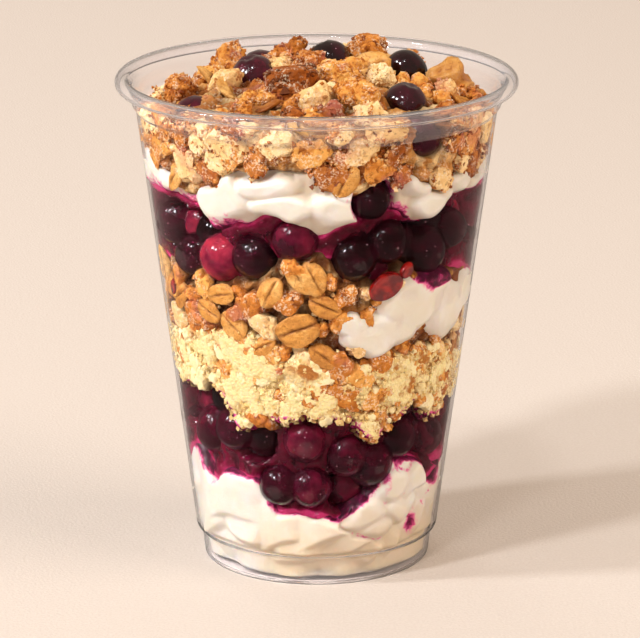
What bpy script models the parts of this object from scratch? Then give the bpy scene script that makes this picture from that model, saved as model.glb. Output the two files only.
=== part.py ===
"""A layered berry dessert in a clear plastic cup.

The cup is a thin turned shell with a curled rim, a stacking shoulder and a stepped foot.
Its contents lie in layers that follow the wall: cream, berry compote, cake crumbs, granola
with a spoonful of cream pressed in at one side, compote again, cream, and a crumble heap
with loose berries that stands proud of the rim.

Sizes are in millimetres and are turned into metres when a mesh is made. +Z is up and the
origin is the centre of the foot. An azimuth of 0 is the front (-Y), and 90 is the +X side.
"""

import math
import random

import bmesh
import bpy
from mathutils import Euler, Matrix, Vector, noise

MM = 0.001

# Cup
RIM_RADIUS = 49.0
CUP_HEIGHT = 121.9
WALL = 0.6
FOOT_RADIUS = 27.9
FOOT_FLAT = 0.9
FOOT_HEIGHT = 6.9
SHOULDER_RADIUS = 29.9
SHOULDER_HEIGHT = 7.7
STACK_RADIUS = 44.0
STACK_HEIGHT = 113.7
STACK_STEP = 1.0
NECK_HEIGHT = 118.6
CURL_RADIUS = 1.7
PANEL_RADIUS = 24.7
PANEL_HEIGHT = 2.6
SIDES = 36

# Gaps between neighbours, and how far the heaps' cores stay back from the wall
WALL_GAP = 0.4
LAYER_GAP = 0.3
HEAP_RECESS = 2.2
COMPOTE_RECESS = 3.6

# Food pieces
BERRY = 5.7
FLAKE = (5.2, 3.7, 1.1)
HEAP_ROOM_TOP = 140.0
SLIVERS = (0.03, 0.015, 0.007, 0.003, 0.001, 0.0)

# Each line where two layers meet at the wall: its height at the centre of the cup, then the
# crests and dips round the wall as (azimuth, height).
CREAM_LOW_TOP = (24.0, (
    (-172, 25), (-150, 22), (-128, 27), (-106, 30), (-88, 26), (-70, 31), (-57, 24), (-45, 27.5),
    (-32, 27), (-17, 19), (0, 18.5), (11, 17), (24, 22), (37, 31.5), (50, 30), (65, 22.5),
    (84, 27), (103, 31), (124, 24), (146, 20), (166, 27)))
COMPOTE_LOW_TOP = (46.0, (
    (-168, 47), (-147, 43), (-126, 48), (-104, 51), (-84, 53), (-70, 48), (-52, 51), (-42, 49),
    (-33, 41), (-22, 44.5), (0, 44.5), (13, 44.5), (24, 39), (36, 43.5), (44, 47), (60, 41),
    (74, 45), (98, 49), (118, 43), (142, 41), (160, 46)))
CAKE_TOP = (60.0, (
    (-160, 60), (-130, 63), (-100, 60), (-80, 59), (-55, 62), (-32, 65), (-12, 61), (4, 57),
    (24, 56.5), (43, 59.5), (60, 57), (72, 53), (90, 55), (115, 60), (140, 64), (170, 61)))
GRANOLA_TOP = (80.0, (
    (-165, 80), (-140, 76), (-115, 79), (-92, 77), (-74, 80), (-58, 74.5), (-45, 76.5), (-27, 78),
    (-14, 83), (1, 85.5), (10, 81), (24, 78), (34, 81), (50, 75.5), (66, 77), (85, 75),
    (108, 80), (132, 76), (155, 82)))
COMPOTE_HIGH_TOP = (94.0, (
    (-170, 93), (-145, 96), (-120, 92), (-95, 96), (-72, 96), (-52, 95.5), (-40, 90), (-28, 92),
    (-16, 95.5), (0, 90), (13, 93.5), (28, 96), (40, 92), (56, 96.5), (80, 96.5), (105, 93),
    (130, 96), (158, 91)))
CREAM_HIGH_TOP = (105.0, (
    (-165, 104), (-140, 106), (-115, 101), (-92, 104), (-67, 103), (-50, 99), (-38, 101),
    (-28, 107), (-13, 108), (1, 107.5), (12, 102), (27, 107), (47, 101), (57, 103), (72, 99.5),
    (95, 105), (120, 101), (148, 107)))
CRUMBLE_TOP = (119.0, (
    (-150, 110), (-110, 110), (-80, 111), (-50, 115.5), (0, 116.5), (50, 115.5), (80, 111),
    (110, 110), (150, 110), (180, 112)))

# The spoonful of cream in the granola: its middle and half-sizes, and how far its left end hangs
SPOONFUL_AZIMUTH = 47.0
SPOONFUL_HALF = 40.0
SPOONFUL_HEIGHT = 69.0
SPOONFUL_RISE = 8.2
SPOONFUL_DROOP = 6.5
SPOONFUL_DEPTH = 13.0

# Berries against the wall in each compote, as (azimuth, height) of their centres
BERRIES_LOW = ((-84, 38), (-62, 36), (-43, 38.5), (-19, 25.5), (-6, 37.5), (-3, 25.2),
               (15, 33.5), (28, 30.5), (43, 36.5), (66, 34), (86, 38))
BERRIES_HIGH = ((-73, 88), (-56, 81.5), (-41, 82.5), (-25, 84), (-8, 89), (15, 84.5), (28, 88),
                (48, 84.5), (62, 87.5), (82, 84))

# Loose berries of the topping and the one pressed into the high cream, as (x, y, z)
TOPPING_BERRIES = {
    "berry_back_left": (-15.4, 3.0, 120.7),
    "berry_back_right": (21.8, 9.7, 120.0),
    "berry_front_right": (21.1, -17.7, 118.2),
    "berry_behind": (3.3, 20.0, 120.6),
    "berry_front_left": (-29.0, -14.0, 114.2),
    "berry_far_side": (-14.0, 33.0, 115.0),
}
WALL_BERRIES = {"berry_under_rim": (40.0, 113.4), "berry_in_cream": (20.0, 99.3)}

# Crumble pieces that stand out of the heap, as (x, y, z, half-length, kind)
TOPPING_PIECES = (
    (-21.8, 22.0, 119.6, 5.2, "clump"), (-6.5, 25.0, 120.4, 4.8, "clump"),
    (11.2, 23.0, 121.2, 5.6, "clump"), (-2.6, 5.0, 122.4, 5.0, "clump"),
    (-8.0, 4.5, 122.0, 4.2, "crumb"), (-7.0, -17.0, 120.2, 7.2, "clump"),
    (-15.0, -21.0, 118.8, 4.6, "crumb"), (6.2, -6.0, 121.8, 5.6, "clump"),
    (9.2, -21.5, 119.0, 6.0, "clump"), (15.0, -4.0, 121.0, 4.4, "crumb"),
    (13.0, 3.5, 120.0, 5.6, "flake"), (-21.2, -12.5, 119.4, 5.4, "flake"),
    (-33.2, -1.5, 117.8, 5.2, "clump"), (-26.2, 4.5, 117.6, 5.2, "flake"),
    (32.5, 3.5, 118.2, 5.0, "clump"), (31.8, -7.0, 117.4, 3.6, "crumb"),
    (37.2, -1.0, 115.6, 3.4, "clump"), (23.6, 24.0, 117.8, 4.6, "crumb"),
    (-1.0, -31.0, 116.2, 5.2, "clump"), (-24.0, -25.5, 114.8, 4.8, "crumb"),
    (10.0, -34.0, 114.0, 4.4, "crumb"), (1.0, 36.0, 113.8, 4.8, "clump"),
    (-33.5, 13.0, 113.6, 4.4, "crumb"),
)


def polar(azimuth, radius, height):
    """The point at that azimuth, in millimetres."""
    turn = math.radians(azimuth)
    return Vector((radius * math.sin(turn), -radius * math.cos(turn), height))


def azimuth_of(x, y):
    return math.degrees(math.atan2(x, -y))


def ease(share):
    share = min(max(share, 0.0), 1.0)
    return share * share * (3.0 - 2.0 * share)


def along(points, at):
    """Straight-line interpolation of (at, value) pairs in rising order."""
    if at <= points[0][0]:
        return points[0][1]
    for (a, low), (b, high) in zip(points, points[1:]):
        if at <= b:
            return low + (high - low) * (at - a) / (b - a)
    return points[-1][1]


def wall_line(line, azimuth):
    """Height at the wall of a line between layers: eased from each crest to the next dip."""
    stops = line[1]
    ring = [(stops[-1][0] - 360, stops[-1][1]), *stops, (stops[0][0] + 360, stops[0][1])]
    azimuth = (azimuth + 180.0) % 360.0 - 180.0
    for (a, low), (b, high) in zip(ring, ring[1:]):
        if a <= azimuth <= b:
            return low + (high - low) * ease((azimuth - a) / (b - a))
    return ring[-1][1]


def surface(line, azimuth, share, power=1.6):
    """Height of the same surface inside the cup. share is 0 on the axis and 1 at the wall."""
    return line[0] + (wall_line(line, azimuth) - line[0]) * share ** power


# --- Cup ---------------------------------------------------------------------------------


def inner_wall():
    """The inside of the cup as (radius, height), from the edge of the floor up to the neck."""
    return [
        (PANEL_RADIUS - 0.2, PANEL_HEIGHT + WALL),
        (FOOT_RADIUS - FOOT_FLAT - WALL, WALL),
        (FOOT_RADIUS - WALL, WALL + 0.4),
        (FOOT_RADIUS + 0.7 - WALL, FOOT_HEIGHT + 0.2),
        (SHOULDER_RADIUS - WALL, SHOULDER_HEIGHT + 0.4),
        (STACK_RADIUS - WALL, STACK_HEIGHT),
        (STACK_RADIUS + STACK_STEP - WALL, STACK_HEIGHT + 0.9),
        (STACK_RADIUS + STACK_STEP + 0.3 - WALL, NECK_HEIGHT),
    ]


def wall_radius(height):
    """Inner radius of the cup at a height above its moat."""
    side = inner_wall()[2:]
    return along([(z, r) for r, z in side], height)


def cup_profile():
    """The whole section, from the floor's centre up the inside, over the curl and back under."""
    inside = [(0.0, PANEL_HEIGHT + WALL), *inner_wall()]
    centre = (RIM_RADIUS - CURL_RADIUS, CUP_HEIGHT - CURL_RADIUS)
    over = [(centre[0] + CURL_RADIUS * math.cos(math.radians(a)),
             centre[1] + CURL_RADIUS * math.sin(math.radians(a))) for a in (150, 90, 40, 0, -50)]
    under = [(centre[0] + (CURL_RADIUS - WALL) * math.cos(math.radians(a)),
              centre[1] + (CURL_RADIUS - WALL) * math.sin(math.radians(a))) for a in (-50, 40, 150)]
    outside = [
        (STACK_RADIUS + STACK_STEP + 0.3, NECK_HEIGHT),
        (STACK_RADIUS + STACK_STEP, STACK_HEIGHT + 1.2),
        (STACK_RADIUS, STACK_HEIGHT + 0.1),
        (SHOULDER_RADIUS, SHOULDER_HEIGHT),
        (FOOT_RADIUS + 0.7, FOOT_HEIGHT),
        (FOOT_RADIUS, 0.6),
        (FOOT_RADIUS - 0.6, 0.0),
        (FOOT_RADIUS - 0.6 - FOOT_FLAT, 0.0),
        (PANEL_RADIUS - 0.6, PANEL_HEIGHT),
        (0.0, PANEL_HEIGHT),
    ]
    return inside + over + under + outside


def turned(name, profile):
    """A solid of revolution from an open profile whose ends lie on the axis."""
    mesh = bpy.data.meshes.new(name)
    points = [(r * MM, 0.0, z * MM) for r, z in profile]
    mesh.from_pydata(points, [(i, i + 1) for i in range(len(points) - 1)], [])
    made = bpy.data.objects.new(name, mesh)
    screw = made.modifiers.new("turn", "SCREW")
    screw.steps = screw.render_steps = SIDES
    screw.use_merge_vertices = True
    screw.merge_threshold = 0.00001
    return made


# --- Shapes ------------------------------------------------------------------------------


def object_of(name, bm, collection):
    mesh = bpy.data.meshes.new(name)
    bm.to_mesh(mesh)
    bm.free()
    made = bpy.data.objects.new(name, mesh)
    collection.objects.link(made)
    return made


def layer(name, lower, upper, collection, side_radius, stations):
    """A layer of food: a sphere whose rings become the underside, the side and the top.

    lower and upper give the surfaces' heights from (azimuth, share of the radius), and
    side_radius the side from (azimuth, height). Each station is a ring of the sphere, as
    (share of the radius, share of the thickness).
    """
    bm = bmesh.new()
    bmesh.ops.create_uvsphere(bm, u_segments=SIDES, v_segments=len(stations) - 1, radius=1.0)
    for vertex in bm.verts:
        ring = round((math.degrees(math.asin(max(-1.0, min(1.0, vertex.co.z)))) + 90.0)
                     / 180.0 * (len(stations) - 1))
        share, rise = stations[ring]
        azimuth = azimuth_of(vertex.co.x, vertex.co.y)
        reach = share
        for _ in range(3):
            low, high = lower(azimuth, reach), upper(azimuth, reach)
            height = low + (high - low) * rise
            radius = side_radius(azimuth, height) * share
            reach = radius / (wall_radius(height) - WALL_GAP)
        vertex.co = polar(azimuth, radius, height) * MM
    # Neighbouring layers split their facets alike, so that the gap between them stays even.
    bmesh.ops.triangulate(bm, faces=bm.faces, quad_method="SHORT_EDGE")
    return object_of(name, bm, collection)


def stations(side_rings, cap_shares=(0.45, 0.8)):
    """Rings from the underside's centre to the top's, with that many rings up the side."""
    under = [(0.0, 0.0), *((share, 0.0) for share in cap_shares)]
    side = [(1.0, i / (side_rings - 1)) for i in range(side_rings)]
    return under + side + [(share, 1.0 - rise) for share, rise in reversed(under)]


def lump(name, kind, place, half, turn, collection, seed):
    """One piece of crumble or a flake. half is its half-length, and kind its form."""
    bm = bmesh.new()
    if kind == "flake":
        bmesh.ops.create_cone(bm, cap_ends=True, segments=7, radius1=1.0, radius2=0.82, depth=1.0)
        scale = Vector((half, half * FLAKE[1] / FLAKE[0], 2.0 * FLAKE[2]))
        rough = 0.06
    elif kind == "clump":
        bmesh.ops.create_icosphere(bm, subdivisions=1, radius=1.0)
        scale = Vector((half, half * 0.86, half * 0.92))
        rough = 0.3
    else:
        bmesh.ops.create_uvsphere(bm, u_segments=6, v_segments=3, radius=1.05)
        scale = Vector((half, half * 0.9, half * 0.8))
        rough = 0.2
    offset = Vector((seed * 3.7, seed * 1.3, seed * 2.1))
    for vertex in bm.verts:
        grow = 1.0 + rough * 2.0 * noise.noise(vertex.co * 1.4 + offset)
        vertex.co = Vector(c * s for c, s in zip(vertex.co, scale)) * grow
    bm.transform(Matrix.Translation(place * MM) @ turn.to_matrix().to_4x4() @ Matrix.Scale(MM, 4))
    return object_of(name, bm, collection)


def berry(name, place, collection, grow=0.0, sides=8):
    """A slightly flattened ball."""
    bm = bmesh.new()
    bmesh.ops.create_uvsphere(bm, u_segments=sides, v_segments=sides - 3, radius=BERRY + grow)
    for vertex in bm.verts:
        vertex.co.z *= 0.93
    bm.transform(Matrix.Translation(place * MM) @ Matrix.Scale(MM, 4))
    return object_of(name, bm, collection)


def berry_cutter(name, place, collection, to_wall):
    """Room for a berry. Where to_wall is set, it is open to the wall, so that the berry shows."""
    berry(name, place, collection, grow=LAYER_GAP)
    if to_wall:
        bm = bmesh.new()
        bmesh.ops.create_cone(bm, cap_ends=True, segments=9, radius1=BERRY + LAYER_GAP,
                              radius2=BERRY + LAYER_GAP, depth=2.0 * BERRY)
        outward = Vector((place.x, place.y, 0.0)).normalized()
        turn = outward.to_track_quat("Z", "Y").to_matrix().to_4x4()
        centre = place + outward * BERRY
        bm.transform(Matrix.Translation(centre * MM) @ turn @ Matrix.Scale(MM, 4))
        object_of(name + "_way_out", bm, collection)


# --- Joining and cutting -----------------------------------------------------------------


def drop_scraps(bm):
    """Keeps the biggest shell, which drops loose scraps and fills what fusing sealed."""
    left = set(bm.verts)
    bodies = []
    while left:
        seed = left.pop()
        body, edge = {seed}, [seed]
        while edge:
            near = {e.other_vert(v) for v in edge for e in v.link_edges} & left
            left -= near
            body |= near
            edge = list(near)
        bodies.append(body)
    keep = max(bodies, key=len)
    bmesh.ops.delete(bm, geom=[v for v in bm.verts if v not in keep], context="VERTS")


def clean(mesh):
    """One closed body, without the longest of a Boolean's slivers that can go safely."""
    for size in SLIVERS:
        bm = bmesh.new()
        bm.from_mesh(mesh)
        drop_scraps(bm)
        bmesh.ops.triangulate(bm, faces=bm.faces)
        bmesh.ops.dissolve_degenerate(bm, dist=size * MM, edges=bm.edges)
        closed = all(edge.is_manifold for edge in bm.edges)
        if closed:
            bm.to_mesh(mesh)
        bm.free()
        if closed:
            return


def combine(target, operation, other, solver="MANIFOLD"):
    """Applies one Boolean with an object, or with all of a collection, which is then emptied."""
    modifier = target.modifiers.new(operation.lower(), "BOOLEAN")
    modifier.operation = operation
    modifier.solver = solver
    if isinstance(other, bpy.types.Collection):
        modifier.operand_type = "COLLECTION"
        modifier.collection = other
        used = list(other.objects)
    else:
        modifier.object = other
        used = [other]
    bpy.context.view_layer.update()
    graph = bpy.context.evaluated_depsgraph_get()
    mesh = bpy.data.meshes.new_from_object(target.evaluated_get(graph))
    target.modifiers.clear()
    target.data = mesh
    for piece in used:
        bpy.data.objects.remove(piece)
    clean(mesh)
    return target


def helper_collection(name):
    made = bpy.data.collections.new(name)
    made.hide_render = True
    bpy.context.scene.collection.children.link(made)
    return made


# --- Layers ------------------------------------------------------------------------------


def between(line, gap):
    """A surface at a line between layers, moved up or down by a gap."""
    return lambda azimuth, share: surface(line, azimuth, share) + gap


def heap_top(azimuth, share):
    """The heap's own top: flatter in the middle than the layers, and steeper near the wall."""
    return surface(CRUMBLE_TOP, azimuth, share, power=3.0)


def at_wall(recess=0.0):
    return lambda azimuth, height: wall_radius(height) - WALL_GAP - recess


def petal_relief(azimuth, height):
    """How far the low cream draws back from the wall between its spooned folds."""
    turn = math.radians(azimuth)
    sweep = 0.5 + 0.5 * math.sin(5.0 * turn + height * 0.42 + 0.8 * math.sin(2.0 * turn))
    foot = ease((SHOULDER_HEIGHT + 2.0 - height) / 6.0)
    return 1.5 * (1.0 - sweep) ** 2 + foot * (2.4 - 1.4 * math.cos(3.0 * turn + 0.5))


def cream_low(parts):
    side = at_wall()
    return layer(
        "cream_low",
        lambda azimuth, share: PANEL_HEIGHT + WALL + LAYER_GAP,
        between(CREAM_LOW_TOP, 0.0),
        parts,
        lambda azimuth, height: side(azimuth, height) - petal_relief(azimuth, height),
        stations(7),
    )


def compote(name, lower, upper, berries, parts, helpers):
    """Jelly a little back from the wall, with the berries that press against the wall."""
    region = layer(name + "_region", between(lower, LAYER_GAP), between(upper, 0.0), helpers,
                   at_wall(), stations(4))
    body = layer(name, between(lower, LAYER_GAP + 0.2), between(upper, -0.2), parts,
                 at_wall(COMPOTE_RECESS), stations(4))
    group = helper_collection(name + "_berries")
    for i, (azimuth, height) in enumerate(berries):
        place = polar(azimuth, wall_radius(height - 2.0) - WALL_GAP - BERRY - 0.1, height)
        berry(f"{name}_berry_{i}", place, group)
    combine(body, "UNION", group)
    return combine(body, "INTERSECT", region)


def round_the_back(front, low, high, step, seed):
    """The front's berries as seen, and others round the back at the same spacing."""
    draw = random.Random(seed)
    back = []
    azimuth = 104.0
    while azimuth < 258.0:
        back.append((azimuth, draw.uniform(low, high)))
        azimuth += step + draw.uniform(-3.0, 3.0)
    return [*front, *back]


def cake(parts):
    """Loose cake crumbs: rounded knobs of uneven size at the wall."""
    side = at_wall()

    def knobs(azimuth, height):
        point = polar(azimuth, wall_radius(height), height)
        dent = abs(noise.noise(point * 0.16)) + 0.5 * abs(noise.noise(point * 0.33))
        return side(azimuth, height) - 2.6 * max(0.0, 0.42 - dent)

    return layer("cake_crumbs", between(COMPOTE_LOW_TOP, LAYER_GAP), between(CAKE_TOP, 0.0),
                 parts, knobs, stations(5))


def spoonful(name, collection, grow=0.0):
    """The spoonful of cream at the right of the granola, flattened against the wall."""
    bm = bmesh.new()
    bmesh.ops.create_uvsphere(bm, u_segments=20, v_segments=12, radius=1.0)
    for vertex in bm.verts:
        across, depth, up = vertex.co.x, -vertex.co.y, vertex.co.z
        azimuth = SPOONFUL_AZIMUTH + SPOONFUL_HALF * across
        droop = SPOONFUL_DROOP * math.exp(-((azimuth - 17.0) / 8.0) ** 2)
        wave = 0.9 * math.cos(math.radians(azimuth - 40.0) * 5.0)
        height = SPOONFUL_HEIGHT + wave - droop + up * SPOONFUL_RISE
        reach = depth ** 0.5 * 3.0 if depth > 0.0 else depth * SPOONFUL_DEPTH
        vertex.co = polar(azimuth, wall_radius(height) - WALL_GAP - 3.0 + reach, height) * MM
    bm.normal_update()
    for vertex in bm.verts:
        vertex.co += vertex.normal * grow * MM
    return object_of(name, bm, collection)


def granola(parts, helpers):
    """A core set back from the wall, with oat flakes and clumps fused on and pressed flat."""
    region = layer("granola_region", between(CAKE_TOP, LAYER_GAP), between(GRANOLA_TOP, 0.0),
                   helpers, at_wall(), stations(4))
    body = layer("granola", between(CAKE_TOP, LAYER_GAP + 0.2), between(GRANOLA_TOP, -0.2),
                 parts, at_wall(HEAP_RECESS), stations(4))
    group = helper_collection("granola_pieces")
    draw = random.Random(11)
    rows, columns = 2, 15
    for row in range(rows):
        for column in range(columns):
            azimuth = -180.0 + 360.0 * (column + 0.5 * row + draw.uniform(-0.2, 0.2)) / columns
            low, high = wall_line(CAKE_TOP, azimuth), wall_line(GRANOLA_TOP, azimuth)
            height = low + (high - low) * (0.3 + 0.4 * row)
            kind = "flake" if draw.random() < 0.65 else "crumb"
            half = draw.uniform(4.4, 5.4) if kind == "flake" else draw.uniform(3.0, 4.0)
            depth = 2.6 if kind == "flake" else 0.9 * half
            facing = Euler((math.radians(90.0 + draw.uniform(-14, 14)), draw.uniform(-0.5, 0.5),
                            math.radians(azimuth + draw.uniform(-10, 10))))
            if abs(azimuth - SPOONFUL_AZIMUTH) > SPOONFUL_HALF or row == 0 and azimuth < 30.0:
                place = polar(azimuth, wall_radius(height) - WALL_GAP - depth, height)
                lump(f"granola_{row}_{column}", kind, place, half, facing, group, 40 * row + column)
    combine(body, "UNION", group)
    combine(body, "INTERSECT", region)
    combine(body, "DIFFERENCE", spoonful("spoonful_cutter", helpers, 2.0 * LAYER_GAP))
    return body


def topping_region(helpers):
    """All the room that the crumble may fill: inside the wall, and up past the rim."""
    return layer(
        "topping_region",
        between(CREAM_HIGH_TOP, LAYER_GAP),
        lambda azimuth, share: HEAP_ROOM_TOP,
        helpers,
        lambda azimuth, height: min(wall_radius(height), STACK_RADIUS) - WALL_GAP,
        [(0.0, 0.0), (0.45, 0.0), (0.8, 0.0), (1.0, 0.0), (1.0, 0.4), (1.0, 1.0), (0.0, 1.0)],
    )


def filling_pieces(taken, draw):
    """Smaller crumble between the named pieces, on a sunflower spiral over the heap."""
    count = 17
    for i in range(count):
        share = math.sqrt((i + 0.5) / count)
        azimuth = i * 137.508 % 360.0 - 180.0
        radius = 40.0 * share
        x, y, _ = polar(azimuth, radius, 0.0)
        half = draw.uniform(2.9, 3.8)
        if all(math.hypot(x - a, y - b) > half + 0.55 * size for a, b, size in taken):
            yield x, y, heap_top(azimuth, radius / 43.0) + 1.8, half, "crumb"


def wall_pieces(draw):
    """Crumble that shows through the wall under the rim, in two staggered rows."""
    count = 17
    for i in range(count):
        azimuth = -180.0 + 360.0 * (i + draw.uniform(-0.2, 0.2)) / count
        low, high = wall_line(CREAM_HIGH_TOP, azimuth), wall_line(CRUMBLE_TOP, azimuth)
        height = low + (high - low) * (0.35 + 0.4 * (i % 2))
        half = draw.uniform(4.0, 5.2)
        x, y, _ = polar(azimuth, wall_radius(height) - 3.4, 0.0)
        yield x, y, height, half, "clump"


def topping(parts, helpers, berries):
    body = layer("crumble_topping", between(CREAM_HIGH_TOP, LAYER_GAP + 0.2),
                 heap_top, parts, at_wall(HEAP_RECESS), stations(3))
    draw = random.Random(5)
    taken = [(x, y, size) for x, y, _, size, _ in TOPPING_PIECES]
    taken += [(x, y, BERRY) for x, y, _ in berries.values()]
    pieces = [*TOPPING_PIECES, *filling_pieces(taken, draw), *wall_pieces(draw)]
    group = helper_collection("topping_pieces")
    for i, (x, y, z, half, kind) in enumerate(pieces):
        tilt = 0.9 if kind == "flake" else 0.4
        turn = Euler((draw.uniform(-tilt, tilt), draw.uniform(-tilt, tilt), draw.uniform(0, 6.28)))
        lump(f"topping_{i}", kind, Vector((x, y, z)), half, turn, group, i)
    combine(body, "UNION", group)
    return combine(body, "INTERSECT", topping_region(helpers))


def material(name, colour, roughness, alpha=1.0):
    made = bpy.data.materials.new(name)
    made.use_nodes = True
    shader = made.node_tree.nodes["Principled BSDF"]
    shader.inputs["Base Color"].default_value = (*colour, 1.0)
    shader.inputs["Roughness"].default_value = roughness
    shader.inputs["Metallic"].default_value = 0.0
    shader.inputs["Alpha"].default_value = alpha
    return made


def main():
    for old in list(bpy.data.objects):
        bpy.data.objects.remove(old)
    parts = bpy.data.collections.new("layered_dessert")
    bpy.context.scene.collection.children.link(parts)
    helpers = helper_collection("cutters")

    cup = turned("cup", cup_profile())
    parts.objects.link(cup)
    low_cream = cream_low(parts)
    low_compote = compote("compote_low", CREAM_LOW_TOP, COMPOTE_LOW_TOP,
                          round_the_back(BERRIES_LOW, 28.0, 39.0, 28.0, 3), parts, helpers)
    crumbs = cake(parts)
    oats = granola(parts, helpers)
    side_cream = combine(spoonful("cream_spoonful", parts), "INTERSECT",
                         layer("spoonful_region", between(CAKE_TOP, LAYER_GAP),
                               between(GRANOLA_TOP, 0.0), helpers, at_wall(), stations(4)))
    high_compote = compote("compote_high", GRANOLA_TOP, COMPOTE_HIGH_TOP,
                           round_the_back(BERRIES_HIGH, 82.0, 88.0, 28.0, 4), parts, helpers)
    high_cream = layer("cream_high", between(COMPOTE_HIGH_TOP, LAYER_GAP),
                       between(CREAM_HIGH_TOP, 0.0), parts, at_wall(), stations(5))

    places = {name: Vector(place) for name, place in TOPPING_BERRIES.items()}
    for name, (azimuth, height) in WALL_BERRIES.items():
        places[name] = polar(azimuth, wall_radius(height) - WALL_GAP - BERRY, height)
    crumble = topping(parts, helpers, places)
    berries = [berry(name, place, parts) for name, place in places.items()]
    in_cream = {"berry_in_cream": places["berry_in_cream"]}
    for target, near in ((crumble, places), (high_cream, in_cream), (high_compote, in_cream)):
        cutters = helper_collection("cutters_of_" + target.name)
        for name, place in near.items():
            berry_cutter(name + "_cutter", place, cutters, name in WALL_BERRIES)
        combine(target, "DIFFERENCE", cutters)

    cream = material("cream", (0.92, 0.84, 0.69), 0.5)
    jelly = material("compote", (0.12, 0.006, 0.035), 0.12)
    fruit = material("blueberry_skin", (0.03, 0.006, 0.025), 0.15)
    finishes = [
        (cup, material("clear_plastic", (0.96, 0.96, 0.96), 0.04, alpha=0.25)),
        (low_cream, cream), (side_cream, cream), (high_cream, cream),
        (low_compote, jelly), (high_compote, jelly),
        (crumbs, material("cake", (0.86, 0.64, 0.28), 0.9)),
        (oats, material("granola", (0.62, 0.36, 0.14), 0.75)),
        (crumble, material("crumble", (0.68, 0.41, 0.17), 0.8)),
        *((piece, fruit) for piece in berries),
    ]
    for made, finish in finishes:
        made.data.materials.clear()
        made.data.materials.append(finish)


main()
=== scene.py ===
"""The looks of a layered berry dessert in a clear plastic cup.

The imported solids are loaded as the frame. Each food layer is replaced by a mesh that presses
against the cup's wall, with its berries, flakes and lumps modelled one by one. Sizes are in
millimetres and are turned into metres when a mesh is made. +Z is up, an azimuth of 0 is the
front (-Y) and 90 is the +X side. "Depth" is how far a surface lies behind the wall.
"""

import functools
import itertools
import math
import random

import bmesh
import bpy
import numpy as np
from mathutils import Euler, Matrix, Vector

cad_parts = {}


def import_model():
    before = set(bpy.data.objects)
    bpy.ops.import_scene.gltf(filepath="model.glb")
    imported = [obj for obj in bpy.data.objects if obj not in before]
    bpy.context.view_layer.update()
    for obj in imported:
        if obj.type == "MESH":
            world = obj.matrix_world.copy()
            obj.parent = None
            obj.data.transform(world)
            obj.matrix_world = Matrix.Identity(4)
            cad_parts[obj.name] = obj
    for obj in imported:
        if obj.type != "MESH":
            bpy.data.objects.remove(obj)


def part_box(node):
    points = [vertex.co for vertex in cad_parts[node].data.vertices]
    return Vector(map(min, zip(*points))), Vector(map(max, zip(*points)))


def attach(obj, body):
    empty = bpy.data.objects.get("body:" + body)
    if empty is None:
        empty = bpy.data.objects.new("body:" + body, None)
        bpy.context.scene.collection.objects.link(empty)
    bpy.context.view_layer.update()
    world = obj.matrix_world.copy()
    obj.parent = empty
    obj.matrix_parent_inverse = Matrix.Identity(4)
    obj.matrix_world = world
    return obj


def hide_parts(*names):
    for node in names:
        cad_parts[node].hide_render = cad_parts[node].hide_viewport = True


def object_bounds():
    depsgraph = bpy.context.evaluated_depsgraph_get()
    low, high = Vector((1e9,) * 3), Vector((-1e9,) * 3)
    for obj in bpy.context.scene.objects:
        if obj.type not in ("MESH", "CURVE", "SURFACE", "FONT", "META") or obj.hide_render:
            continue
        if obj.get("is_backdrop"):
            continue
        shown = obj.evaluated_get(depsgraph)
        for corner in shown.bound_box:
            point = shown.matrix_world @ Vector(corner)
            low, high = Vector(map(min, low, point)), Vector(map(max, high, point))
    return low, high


MM = 0.001

# Cup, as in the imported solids
RIM_RADIUS = 49.0
CUP_HEIGHT = 121.9
WALL = 0.6
FOOT_RADIUS = 27.9
FOOT_FLAT = 0.9
FOOT_HEIGHT = 6.9
SHOULDER_RADIUS = 29.9
SHOULDER_HEIGHT = 7.7
STACK_RADIUS = 44.0
STACK_HEIGHT = 113.7
STACK_STEP = 1.0
NECK_HEIGHT = 118.6
CURL_RADIUS = 1.7
PANEL_RADIUS = 24.7
PANEL_HEIGHT = 2.6

# How far the food reaches into the wall that it presses on
REACH = 0.06

# Radius of the loose berries, radius of those in the compote, and how far apart these lie
BERRY = 5.7
WALL_BERRY = 6.1
BERRY_SPACING = 10.6

# The heap: its radius at the wall, its highest point, and where crumbs start to be held under that
HEAP_RADIUS = 43.0
HEAP_LIMIT = 127.2
HEAP_BEND = 124.5
HEAP_LUMPS = ((6.0, 3.4), (2.5, 1.5), (1.1, 0.7))
HEAP_COUNT = 200
GOLDEN_ANGLE = 137.508

# How many small pieces are tried or strewn: crumbs at the wall under the rim, pieces of granola
# and crumbs between them, lumps and grains of the sponge, grains on the side of each kind of
# crumb and on its top, and folds or lobes of cream round the back
WALL_TRIES = 260
GRANOLA_TRIES = 1500
GRANOLA_CRUMBS = 420
SPONGE_LUMPS = 330
SPONGE_GRAINS = 7000
SIDE_GRAINS = 1100
TOP_GRAINS = 500
BACK_FOLDS = 26

# Radians that random turns are drawn from, just over one full turn
FULL_TURN = 6.3

# Radius at which the high cream's relief is laid out
HIGH_RADIUS = 42.0

# The cup's floor under the low cream, how far the cream goes down beside it, and the depth of
# the layers' cores behind the wall
CREAM_FLOOR = PANEL_HEIGHT + WALL + 0.1
CREAM_FOOT = 1.3
CORE_DEPTH = 9.0

# Camera: distance and height of its target in millimetres, degrees up, lens and sensor
CAMERA_DISTANCE = 980.0
CAMERA_ELEVATION = 16.0
CAMERA_TARGET = 59.8
CAMERA_LENS = 223.3
CAMERA_SENSOR = 36.0
CAMERA_SHIFT = 0.0053
CAMERA_RANGE = (0.05, 30.0)

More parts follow.
